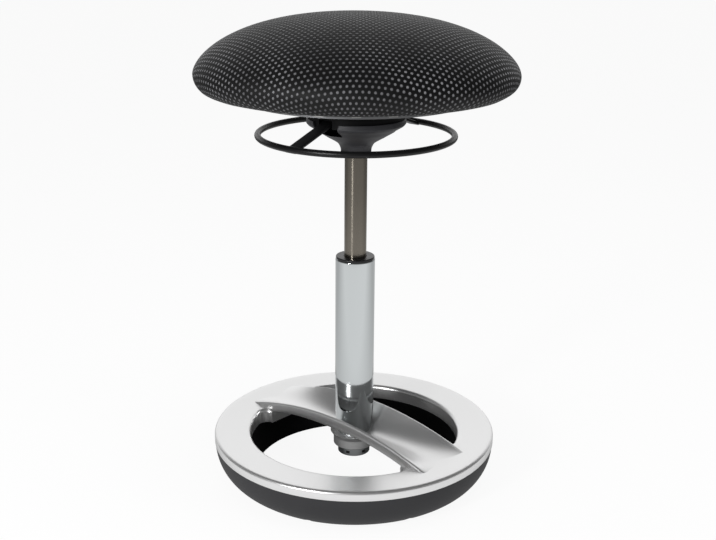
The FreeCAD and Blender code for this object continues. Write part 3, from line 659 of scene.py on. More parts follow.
def refinish(finish: Finish, *nodes: str) -> None:
    """Gives nodes that keep their shape a better finish."""
    for name in nodes:
        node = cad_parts[name]
        node.data.materials.clear()
        node.data.materials.append(finish.material())
        for polygon in node.data.polygons:
            polygon.material_index = 0
        log.info("%s: kept, %s", name, finish.name)


# Sub-assemblies

BRIDGE_ANGLE = -42.5
LEVER_ANGLE = -129.0


@dataclass
class RingCasting:
    """Polished one-piece casting: ring with two openings, trough bridge and hub. Millimetres."""

    bridge_angle: float = BRIDGE_ANGLE
    ring_radius: float = 183.0
    band_bottom: float = 50.0
    band_height: float = 8.0
    shoulder: float = 4.0
    slope: float = 0.042
    opening: float = 136.0
    chord: float = 40.3
    corner: float = 11.0
    edge: float = 5.0
    lip_bottom: float = 41.0
    lip_wall: float = 4.6
    half_width: float = 39.6
    flare: float = 1.2
    reach: float = 155.0
    rise: float = 25.0
    rail_depth: float = 13.5
    rim: float = 3.0
    web_wall: float = 5.0
    web_dip: float = 2.0
    hub_radius: float = 26.8
    hub_bottom: float = 38.4
    hub_flare: float = 4.0
    hub_flare_height: float = 6.0
    bore: float = 21.0
    first_turn: float = -85.0
    first_outer: float = 16.4
    chord_share: float = 0.86
    edge_round: float = 0.8
    band_width: float = 6.0
    band_step: float = 2.0
    band_support: float = 3.0
    rail_edge: float = 1.2
    web_lift: float = 0.3
    arc_steps: int = 44
    sections_along: int = 84
    overrun: float = 3.0

    def top(self, radius: float) -> float:
        """Height of the ring's dished top."""
        outer = self.ring_radius - self.shoulder
        return self.band_bottom + self.band_height + self.shoulder - self.slope * (outer - radius)

    def stations(self) -> list[tuple[Vector, Vector, float]]:
        """Places round the openings: point on the edge, direction into the metal, outer angle."""
        rise = self.chord + self.corner
        middle = Vector((math.sqrt((self.opening - self.corner) ** 2 - rise ** 2), rise))
        meets = math.degrees(math.atan2(middle.y, middle.x))
        start, outer_start = self.first_turn, self.first_outer
        quarter: list[tuple[Vector, Vector, float]] = []
        for step in range(4):
            across = self.chord * self.chord_share * step / 3
            place = Vector((middle.x + self.corner * math.cos(math.radians(start)), across))
            quarter.append((place, Vector((1.0, 0.0)), (outer_start - 1.5) * step / 3))
        for step in range(15):
            share = step / 14
            angle = math.radians(start + (meets - start) * share)
            out = Vector((math.cos(angle), math.sin(angle)))
            quarter.append((middle + self.corner * out, out, outer_start + (meets - outer_start) * share))
        for step in range(1, self.arc_steps + 1):
            angle = meets + (90.0 - meets) * step / self.arc_steps
            out = Vector((math.cos(math.radians(angle)), math.sin(math.radians(angle))))
            quarter.append((self.opening * out, out, angle))
        half = list(quarter)
        for place, out, angle in reversed(quarter[1:-1]):
            half.append((Vector((-place.x, place.y)), Vector((-out.x, out.y)), 180.0 - angle))
        full = list(half)
        first = quarter[0]
        full.append((Vector((-first[0].x, 0.0)), Vector((-1.0, 0.0)), 180.0))
        for place, out, angle in half[1:]:
            full.append((-place, -out, angle + 180.0))
        return full

    def ring_section(self, place: Vector, out: Vector, angle: float) -> list[Point]:
        """Section of the ring at one station, from the band over the top to the lip."""
        away = Vector((math.cos(math.radians(angle)), math.sin(math.radians(angle))))
        points: list[Point] = []

        def rim_point(radius: float, height: float) -> None:
            """Adds a point at a radius from the column."""
            points.append((away.x * radius, away.y * radius, height))

        def edge_point(distance: float, height: float) -> None:
            """Adds a point at a distance into the metal from the opening's edge."""
            spot = place + out * distance
            points.append((spot.x, spot.y, height))

        band, edge = self.ring_radius, self.edge_round
        shoulder_height = self.band_bottom + self.band_height
        rim_point(band - self.band_width, self.band_bottom + self.band_step)
        rim_point(band - self.band_width, self.band_bottom)
        for step in range(5):
            turn = math.radians(-90.0 + 22.5 * step)
            rim_point(band - edge + edge * math.cos(turn), self.band_bottom + edge + edge * math.sin(turn))
        rim_point(band, shoulder_height - self.band_support)
        for step in range(9):
            turn = math.radians(90.0 * step / 8)
            rim_point(band - self.shoulder + self.shoulder * math.cos(turn),
                      shoulder_height + self.shoulder * math.sin(turn))
        start = away * (band - self.shoulder)
        end = place + out * self.edge
        for step in range(1, 9):
            spot = start.lerp(end, step / 8)
            points.append((spot.x, spot.y, self.top(spot.length)))
        level = self.top(end.length) - self.edge
        for step in range(1, 9):
            turn = math.radians(90.0 * step / 8)
            edge_point(self.edge - self.edge * math.sin(turn), level + self.edge * math.cos(turn))
        for step in range(5):
            turn = math.radians(22.5 * step)
            edge_point(edge - edge * math.cos(turn), self.lip_bottom + edge - edge * math.sin(turn))
        edge_point(self.lip_wall, self.lip_bottom)
        edge_point(self.lip_wall, self.band_bottom + self.band_step)
        return points

    def crest(self, along: float) -> float:
        """Height of the rails' crest."""
        return self.top(self.opening) + self.rise * (1 - (along / self.reach) ** 2)

    def web(self, along: float) -> float:
        """Height of the trough's floor."""
        swing = (1 + math.cos(math.pi * along / self.opening)) / 2
        return self.top(self.opening) + self.web_lift - self.web_dip * swing

    def bridge_section(self, along: float) -> list[Point]:
        """Section across the bridge: trough above, two thick rails, bowed underside."""
        half = self.half_width + self.flare * (along / self.reach) ** 2
        crest, rim = self.crest(along), self.rim
        foot, edge = crest - self.rail_depth, self.rail_edge
        points: list[Flat] = []

        def dish(width: float, side: float, floor: float, steps: int, sign: int) -> None:
            """Adds a hollow curve across the bridge, from one side to the other."""
            for step in range(steps + 1):
                across = sign * width * (1 - 2 * step / steps)
                points.append((across, floor + (side - floor) * (across / width) ** 2))

        dish(half - rim, crest, self.web(along), 24, -1)
        for step in range(1, 7):
            turn = math.radians(90.0 - 15.0 * step)
            points.append((half - rim + rim * math.cos(turn), crest - rim + rim * math.sin(turn)))
        points.append((half, (crest - rim + foot) / 2))
        points.append((half, foot + edge))
        points.append((half - edge / 3, foot + edge / 3))
        dish(half - edge, foot, self.web(along) - self.web_wall, 20, 1)
        points.append((edge / 3 - half, foot + edge / 3))
        points.append((-half, foot + edge))
        points.append((-half, (crest - rim + foot) / 2))
        for step in range(6):
            turn = math.radians(180.0 - 15.0 * step)
            points.append((rim - half + rim * math.cos(turn), crest - rim + rim * math.sin(turn)))
        return [(along, across, height) for across, height in points]

    def ring(self) -> bpy.types.Object:
        """Builds the ring."""
        sections = [self.ring_section(*station) for station in self.stations()]
        piece = lofted("base_ring", sections, around=True)
        turn_mesh(piece, self.bridge_angle)
        smooth(piece, 40.0)
        return piece

    def bridge(self) -> bpy.types.Object:
        """Builds the arched bridge."""
        end, count = self.reach + self.overrun, self.sections_along
        sections = [self.bridge_section(-end + 2 * end * step / count) for step in range(count + 1)]
        piece = lofted("base_bridge", sections)
        turn_mesh(piece, self.bridge_angle)
        smooth(piece, 40.0)
        return piece

    def hub(self) -> bpy.types.Object:
        """Builds the hub boss under the bridge."""
        top = self.web(0) - self.web_wall / 2
        outline = rounded([
            (self.bore, self.hub_bottom, 0.6), (self.hub_radius, self.hub_bottom, 1.2),
            (self.hub_radius, top - self.hub_flare_height, 2.5), (self.hub_radius + self.hub_flare, top, 0.0),
            (self.bore, top, 0.0),
        ])
        piece = turned("base_hub", outline, 128)
        smooth(piece, 40.0)
        return piece

    def build(self) -> None:
        """Builds and dresses the casting."""
        dressed(self.ring(), POLISHED_ALUMINIUM, "base", "polished_aluminium", "base_casting")
        dressed(self.bridge(), POLISHED_ALUMINIUM, "base", "polished_aluminium", "base_casting")
        dressed(self.hub(), POLISHED_ALUMINIUM, "base", "polished_aluminium", "base_casting")


@dataclass
class RockerRing:
    """Dark moulded ring with a rounded underside, screwed up to the casting. Millimetres."""

    radius: float = 182.3
    top: float = 50.0
    contact_outer: float = 140.0
    contact_inner: float = 129.6
    lip_radius: float = 140.6
    lip_height: float = 41.0
    wall: float = 4.0
    screws: int = 8
    screw_circle: float = 160.0
    recess_radius: float = 6.0
    recess_top: float = 29.0
    bridge_angle: float = BRIDGE_ANGLE
    foot_edge: float = 1.0
    top_step: float = 2.0
    outside_skin: float = 0.5

    def outline(self) -> list[Flat]:
        """Outline of the ring: rounded outside, flat contact, leaning inner wall."""
        across = self.radius - self.contact_outer
        points: list[Flat] = []
        for step in range(33):
            turn = math.radians(90.0 * step / 32)
            height = self.top - self.top * math.sin(turn)
            points.append((self.contact_outer + across * math.cos(turn), height))
        edge = self.foot_edge
        points.append((self.contact_inner + edge, 0.0))
        points.append((self.contact_inner + 0.3 * edge, 0.3 * edge))
        points.append((self.contact_inner + 0.1 * edge, edge))
        points.append((self.lip_radius - self.wall, self.lip_height))
        points.append((self.lip_radius, self.lip_height))
        points.append((self.radius - self.wall, self.top - self.top_step))
        points.append((self.radius - self.wall, self.top))
        return points

    def build(self) -> None:
        """Builds the ring, sinks its screw recesses and dresses it and its screws."""
        piece = turned("rocker_ring_body", self.outline(), 180)
        cutters = []
        circle = metres(self.screw_circle)
        for index in range(self.screws):
            angle = math.radians(self.bridge_angle + (index + 0.5) * 360.0 / self.screws)
            deselect()
            bpy.ops.mesh.primitive_cylinder_add(
                vertices=32, radius=metres(self.recess_radius), depth=metres(2 * self.recess_top),
                location=(circle * math.cos(angle), circle * math.sin(angle), 0),
            )
            cutters.append(bpy.context.object)
        cut(piece, cutters)
        smooth(piece, 30.0)
        dressed(piece, MOULDED_PLASTIC, "base", "dark_plastic", "rocker_ring")
        inside, low = metres(self.lip_radius + self.outside_skin), metres(self.outside_skin)
        # Painted shade: the faces inside the ring get the near-black plastic.
        two_tone(piece, SHADED_PLASTIC, lambda spot: spot.xy.length < inside and spot.z > low)
        refinish(ZINC_PLATE, "rocker_screws")


@dataclass
class LiftColumn:
    """Chromed tube with its bush, bearing, rod and gas cylinder. Millimetres."""

    tube_radius: float = 25.0
    tube_wall: float = 2.0
    tube_top: float = 294.0
    neck_top: float = 86.0
    neck_bottom: float = 51.0
    foot_radius: float = 20.9
    tube_bottom: float = 26.6
    windows: int = 6
    window_width: float = 5.0
    window_first: float = -112.0
    window_low: float = 30.1
    window_high: float = 33.7
    collar_height: float = 3.0
    bush_bottom: float = 219.0
    cylinder_radius: float = 14.0
    cylinder_bottom: float = 215.0
    cylinder_top: float = 471.0
    taper_length: float = 34.0
    taper_drop: float = 0.8
    neck_ease: float = 0.32
    neck_support: float = 1.5
    mouth_round: float = 1.0
    mouth_support: float = 1.6
    foot_edge: float = 0.5
    running_gap: float = 0.1
    collar_step: float = 0.6
    end_round: float = 2.0
    end_support: float = 1.0
    rod_bore: float = 6.6
    valve_bore: float = 5.6
    valve_seat: float = 3.0
    inside_radius: float = 9.0
    end_wall: float = 5.0
    inside_skin: float = 0.2

    def neck(self, height: float, inset: float) -> Flat:
        """Point on the smooth neck between foot and full width."""
        share = (height - self.neck_bottom) / (self.neck_top - self.neck_bottom)
        eased = share * (1 + self.neck_ease - self.neck_ease * share)
        return self.foot_radius - inset + (self.tube_radius - self.foot_radius) * min(1.0, eased), height

    def tube(self) -> bpy.types.Object:
        """Builds the tube with its necked foot, rounded mouth and punched windows."""
        wall = self.tube_wall
        neck_length = self.neck_top - self.neck_bottom
        neck_heights = [self.neck_bottom + neck_length * step / 14 for step in range(15)]
        outer = [self.neck(height, 0.0) for height in neck_heights]
        inner = [self.neck(height, wall) for height in reversed(neck_heights)]
        foot, bottom, edge = self.foot_radius, self.tube_bottom, self.foot_edge
        outline: list[Flat] = [
            (foot - wall, bottom + edge), (foot - wall + edge, bottom),
            (foot - edge, bottom), (foot, bottom + edge),
        ]
        outline += outer
        radius, top, mouth = self.tube_radius, self.tube_top, self.mouth_round
        outline += [
            (radius, self.neck_top + self.neck_support), (radius, top - self.mouth_support),
            (radius, top - mouth), (radius - 0.3 * mouth, top - 0.3 * mouth),
            (radius - mouth, top), (radius - wall, top),
        ]
        outline += inner
        piece = turned("lift_tube_body", outline, 160)
        cutters = []
        for index in range(self.windows):
            angle = self.window_first + index * 360.0 / self.windows
            cutters.append(block(
                (self.foot_radius - 2 * wall, -self.window_width / 2, self.window_low),
                (self.foot_radius + wall, self.window_width / 2, self.window_high), angle,
            ))
        cut(piece, cutters)
        smooth(piece, 30.0)
        return piece

    def bush(self) -> bpy.types.Object:
        """Builds the plastic bush with the collar that shows on the tube's mouth."""
        bore = self.cylinder_radius + self.running_gap
        fit = self.tube_radius - self.tube_wall - self.running_gap
        rim = self.tube_radius - self.collar_step
        top = self.tube_top + self.collar_height
        outline = rounded([
            (bore, self.bush_bottom, 0.8), (fit, self.bush_bottom, 0.8), (fit, self.tube_top, 0.0),
            (rim, self.tube_top, 0.4), (rim, top, 1.1), (bore, top, 0.8),
        ])
        piece = turned("guide_bush_body", outline, 128)
        smooth(piece, 30.0)
        return piece

    def cylinder(self) -> bpy.types.Object:
        """Builds the gas cylinder with rolled ends and a tapered top."""
        radius, bottom, top = self.cylinder_radius, self.cylinder_bottom, self.cylinder_top
        start, bend = top - self.taper_length, self.end_round
        outline: list[Flat] = [(self.rod_bore, bottom)]
        for step in range(7):
            turn = math.radians(15 * step)
            outline.append((radius - bend + bend * math.sin(turn), bottom + bend - bend * math.cos(turn)))
        slim = radius - self.taper_drop
        outline += [
            (radius, bottom + bend + self.end_support), (radius, start - self.end_support), (radius, start),
            (slim, top - 1.0), (slim - 1.0, top),
            (self.valve_bore, top), (self.valve_bore, top - self.valve_seat),
            (self.inside_radius, top - self.end_wall), (self.inside_radius, bottom + self.end_wall),
            (self.rod_bore, bottom + self.valve_seat),
        ]
        piece = turned("gas_cylinder_body", outline, 128)
        smooth(piece, 30.0)
        return piece

    def build(self) -> None:
        """Builds and dresses the column."""
        tube = dressed(self.tube(), CHROME_PLATE, "base", "chromed_steel", "lift_tube")
        # Painted shade: the tube's inner faces go black, as shade falls inside the tube.
        bore = metres(self.foot_radius - self.tube_wall + self.inside_skin)
        two_tone(tube, SHADED_TUBE_STEEL, lambda spot: spot.xy.length < bore)
        dressed(self.bush(), BLACK_ACETAL, "base", "black_plastic", "guide_bush")
        dressed(self.cylinder(), GROUND_STEEL, "seat", "satin_steel", "gas_cylinder")
        # Painted shade: the end plate inside the tube goes black too.
        refinish(SHADED_TUBE_STEEL, "tube_end_plate")
        refinish(ZINC_PLATE, "rod_clip", "valve_body")
        refinish(BEARING_STEEL, "lower_bearing_race", "upper_bearing_race", "bearing_balls")
        refinish(BEARING_STEEL, "piston_rod", "valve_pin")
        refinish(PALE_NYLON, "bearing_cage", "piston", "rod_guide")
        refinish(BLACK_RUBBER, "rubber_bumper")


@dataclass
class SeatMechanism:
    """Socket, cup, flared shroud and pressed plate under the seat. Millimetres."""

    lever_angle: float = LEVER_ANGLE
    cup_radius: float = 58.5
    cup_wall: float = 2.5
    cup_bottom: float = 466.5
    cup_top: float = 497.4
    cup_corner: float = 5.0
    cup_bore: float = 22.1
    slot_width: float = 20.0
    slot_reach: float = 90.0
    slot_top: float = 476.6
    shroud_wall: float = 2.0
    shroud_bottom: float = 430.0
    lip_height: float = 6.0
    notch_bottom: float = 455.5
    notch_low: float = 30.0
    notch_high: float = 41.0
    notch_from: float = 25.0
    notch_to: float = 80.0
    notch_edge: float = 2.0
    flare: tuple[Flat, ...] = (
        (18.8, 430.0), (18.8, 433.0), (19.2, 435.2), (20.2, 437.6), (21.4, 439.9), (23.4, 442.2),
        (27.0, 444.5), (30.9, 446.8), (35.7, 449.4), (39.6, 451.9), (43.8, 454.3), (47.6, 456.6),
        (50.4, 459.0), (54.6, 461.6), (58.6, 463.9),
    )
    lip_gap: float = 0.3
    lip_edge: float = 0.9
    lip_start: float = 465.4
    inside_shift: tuple[float, float] = (0.7, 1.9)

    def cup(self) -> bpy.types.Object:
        """Builds the pressed cup with its two slots."""
        radius, wall, top = self.cup_radius, self.cup_wall, self.cup_top
        outline = rounded([
            (radius - wall, self.cup_bottom, 0.6), (radius, self.cup_bottom, 0.6),
            (radius, top, self.cup_corner),
            (self.cup_bore, top, 0.0), (self.cup_bore, top - wall, 0.0),
            (radius - wall, top - wall, self.cup_corner - wall),
        ])
        piece = turned("mechanism_cup_body", outline, 128)
        reach, half = self.slot_reach, self.slot_width / 2
        cutter = block((-reach, -half, self.cup_bottom - 1), (reach, half, self.slot_top), self.lever_angle)
        cut(piece, [cutter])
        smooth(piece, 30.0)
        return piece

    def shroud(self) -> bpy.types.Object:
        """Builds the flared shroud and its two notches."""
        wall = self.shroud_wall
        lip = self.cup_radius + self.lip_gap + wall
        top = self.cup_bottom + self.lip_height
        outline = list(self.flare) + [(lip - self.lip_edge, self.lip_start), (lip, self.lip_start + 1.0)]
        outline += [(lip, top - 0.8), (lip - 0.4, top - 0.1), (lip - 1.0, top), (lip - wall, top - 0.4)]
        inner = [(lip - wall, self.lip_start + 2.4)]
        across, up = self.inside_shift
        inner += [(radius - across, height + up) for radius, height in reversed(self.flare[5:])]
        inner += [(17.8, 438.5), (16.9, 434.0), (16.9, 431.4), (15.0, 431.2), (15.0, self.shroud_bottom)]
        piece = turned("shroud_body", outline + inner, 160)
        cutters = []
        for angle in (self.lever_angle, self.lever_angle + 180.0):
            half = self.notch_low / 2
            cutter = block((self.notch_from, -half, self.notch_bottom), (self.notch_to, half, top + 1))
            for vertex in cutter.data.vertices:
                if vertex.co.z > metres(top):
                    vertex.co.y *= self.notch_high / self.notch_low
            turn_mesh(cutter, angle)
            bevelled(cutter, self.notch_edge, 3)
            cutters.append(cutter)
        cut(piece, cutters)
        smooth(piece, 30.0)
        return piece

    def build(self) -> None:
        """Builds and dresses the mechanism."""
        # The cup's coat carries painted shade.
        dressed(self.cup(), SHADED_CUP_COAT, "seat", "black_steel", "mechanism_cup")
        dressed(self.shroud(), SHROUD_PLASTIC, "seat", "dark_plastic", "shroud_cone")
        refinish(POWDER_COAT, "seat_socket")
        # The seat plate's finish carries painted shade.
        refinish(SHADED_PRESSED_PLATE, "seat_plate")
        refinish(ZINC_PLATE, "plate_bolts", "tee_nuts", "cover_staples")
        refinish(STAINED_PLY, "seat_board")


@dataclass
class RingLever:
    """Coated wire ring with one flat bar across it. Millimetres."""

    angle: float = LEVER_ANGLE
    radius: float = 120.0
    wire: float = 3.9
    height: float = 451.4
    bar_width: float = 16.0
    bar_thickness: float = 4.0
    slope: float = 0.345
    flat: float = 33.0
    bar_middle: float = 478.53
    bend: float = 10.0
    end: float = 119.5
    bar_edge: float = 0.9
    straight_stops: tuple[float, ...] = (110.0, 80.0, 50.0)

    def bar_height(self, radius: float) -> float:
        """Height of the bar's middle, bent smoothly from the flat to the slope."""
        run = radius - self.flat
        if run <= -self.bend:
            return self.bar_middle
        if run >= self.bend:
            return self.bar_middle - self.slope * run
        return self.bar_middle - self.slope * (run + self.bend) ** 2 / (4 * self.bend)

    def bar(self) -> bpy.types.Object:
        """Builds the bar as a rounded strip drawn along its bent line."""
        stops = [-stop for stop in (self.end, *self.straight_stops)]
        stops += [-self.flat - self.bend + 2 * self.bend * step / 8 for step in range(9)]
        stops += [0.0]
        stops += [-stop for stop in reversed(stops[:-1])]
        half, thick, edge = self.bar_width / 2, self.bar_thickness / 2, self.bar_edge
        corners = [(-half, -thick, edge), (half, -thick, edge), (half, thick, edge), (-half, thick, edge)]
        outline = rounded(corners, 4)
        sections = []
        for stop in stops:
            middle = self.bar_height(abs(stop))
            fall = self.bar_height(abs(stop) - 0.1) - self.bar_height(abs(stop) + 0.1)
            lean = math.copysign(math.atan(fall / 0.2), -stop)
            sections.append([
                (stop - math.sin(lean) * up, across, middle + math.cos(lean) * up) for across, up in outline
            ])
        piece = lofted("release_bar_body", sections)
        turn_mesh(piece, self.angle)
        smooth(piece, 35.0)
        return piece

    def ring(self) -> bpy.types.Object:
        """Builds the wire ring."""
        turns = [math.tau * step / 20 for step in range(20)]
        outline = [
            (self.radius + self.wire * math.cos(turn), self.height + self.wire * math.sin(turn))
            for turn in turns
        ]
        piece = turned("release_ring_wire", outline, 192)
        smooth(piece, 60.0)
        return piece

    def build(self) -> None:
        """Builds and dresses the lever."""
        dressed(self.ring(), POWDER_COAT, "lever", "black_steel", "release_ring")
        dressed(self.bar(), POWDER_COAT, "lever", "black_steel", "release_bar")


@dataclass
class DomedSeat:
    """Foam pad and stretch cover over the board. Millimetres."""

    radius: float = 196.4
    widest: float = 526.6
    top: float = 596.8
    lowest: float = 504.0
    turn: float = 172.2
    hem: float = 151.0
    wall: float = 1.5
    board_bottom: float = 500.0
    board_top: float = 512.0
    board_radius: float = 179.0
    board_flat: float = 140.0
    board_rise: float = 6.3
    side_power: float = 2.29
    top_power: float = 1.66
    board_edge: float = 4.0
    pleats: int = 90
    pleat_depth: float = 0.3
    hem_gap: float = 0.3
    hem_in: float = 6.0
    hem_low: float = 13.0
    wave_depth: float = 0.5
    still_rows: int = 6
    waving_rows: int = 30
    cover_steps: int = 216

    def crown(self, angle: float, inset: float) -> Flat:
        """Point on the crown, an angle from the top."""
        side = math.radians(angle)
        radius = (self.radius - inset) * math.sin(side) ** (2 / self.side_power)
        lift = max(0.0, math.cos(side)) ** (2 / self.top_power)
        return radius, self.widest + (self.top - inset - self.widest) * lift

    def tuck(self, angle: float, inset: float) -> Flat:
        """Point where the cover draws in under its widest line."""
        side = math.radians(angle)
        radius = self.turn + (self.radius - inset - self.turn) * math.cos(side)
        return radius, self.widest - (self.widest - self.lowest - inset) * math.sin(side)

    def under(self, radius: float) -> float:
        """Height of the board's underside."""
        slope = self.board_rise / (self.board_radius - self.board_edge - self.board_flat)
        return self.board_bottom + max(0.0, slope * (radius - self.board_flat))

    def profile(self, inset: float) -> list[Flat]:
        """Outline from the top of the crown to the tucked edge."""
        points = [self.crown(90.0 * (step / 40) ** 1.15, inset) for step in range(41)]
        points += [self.tuck(90.0 * step / 14, inset) for step in range(1, 15)]
        return points

    def cloth_map(self, piece: bpy.types.Object) -> None:
        """Lays a flat map of the cloth over the cover, in metres from the crown's top."""
        reach = [0.0]
        line = self.profile(0.0)
        for before, after in zip(line, line[1:]):
            reach.append(reach[-1] + math.dist(before, after))
        layer = piece.data.uv_layers.new(name="cloth")
        for loop in piece.data.loops:
            spot = piece.data.vertices[loop.vertex_index].co * 1000.0
            radius = math.hypot(spot.x, spot.y)
            best = min(range(len(line)), key=lambda at: math.dist(line[at], (radius, spot.z)))
            low, high = max(0, best - 1), min(len(line) - 1, best + 1)
            along = Vector(line[high]) - Vector(line[low])
            share = (Vector((radius, spot.z)) - Vector(line[low])).dot(along) / along.length_squared
            arc = reach[low] + (reach[high] - reach[low]) * share
            angle = math.atan2(spot.y, spot.x)
            layer.data[loop.index].uv = (metres(arc) * math.cos(angle), metres(arc) * math.sin(angle))

    def cover(self) -> bpy.types.Object:
        """Builds the cover: crown, drawn-in side and gathered hem under the board."""
        outer = self.profile(0.0)
        inner = [self.crown(90.0 * step / 24, self.wall) for step in range(25)]
        inner += [self.tuck(90.0 * step / 8, self.wall) for step in range(1, 9)]

        def hem_point(radius: float, depth: float) -> Flat:
            """Returns a point of the hem, a depth under its upper face."""
            return radius, self.under(radius) - self.hem_gap - depth

        rim = [
            hem_point(self.turn - self.hem_in, self.wall), hem_point(self.turn - self.hem_low, self.wall),
            hem_point(self.hem + 1.0, self.wall), hem_point(self.hem, self.wall / 2),
            hem_point(self.hem + 1.0, 0.0), hem_point(self.turn - self.hem_in, 0.0),
        ]
        outline = outer + rim + inner[::-1]
        sections = []
        first_rim = len(outer)
        for index in range(self.cover_steps):
            angle = math.tau * index / self.cover_steps
            gather = 0.5 + 0.5 * math.sin(self.pleats * angle + 1.3 * math.sin(5 * angle))
            row = []
            for at, (radius, height) in enumerate(outline):
                drop = 0.0
                if first_rim <= at < first_rim + 3:
                    drop = self.pleat_depth * gather
                elif at == first_rim - 1:
                    drop = self.pleat_depth * gather / 2
                wave = 0.0
                if self.still_rows < at < first_rim:
                    share = min(1.0, (at - self.still_rows) / self.waving_rows)
                    swell = math.sin(7 * angle + 0.9) + 0.6 * math.sin(13 * angle + height * 0.07)
                    wave = share * self.wave_depth * swell
                away = max(0.0, radius + min(0.0, wave) - abs(wave) * 0.4)
                row.append((away * math.cos(angle), away * math.sin(angle), height - drop))
            sections.append(row)
        piece = lofted("seat_cover_cloth", sections, around=True, ring=False)
        smooth(piece, 60.0)
        self.cloth_map(piece)
        return piece

    def foam(self) -> bpy.types.Object:
        """Builds the foam pad inside the cover."""
        inset = self.wall + 0.3
        outline = [self.crown(90.0 * step / 30, inset) for step in range(31)]
        outline += [self.tuck(60.0 * step / 6, inset) for step in range(1, 7)]
        inner = self.board_radius + 0.3
        outline += [(inner, outline[-1][1]), (inner, self.board_top + 0.3), (0.0, self.board_top + 0.3)]
        piece = turned("seat_foam_pad", outline, 96, ring=False)
        smooth(piece, 40.0)
        return piece

    def build(self) -> None:
        """Builds and dresses the upholstery."""
        pad = dressed(self.foam(), CUT_FOAM, "seat", "seat_foam_block", "seat_foam")
        cover = dressed(self.cover(), DOTTED_KNIT, "seat", "dotted_fabric", "seat_cover")


# Studio


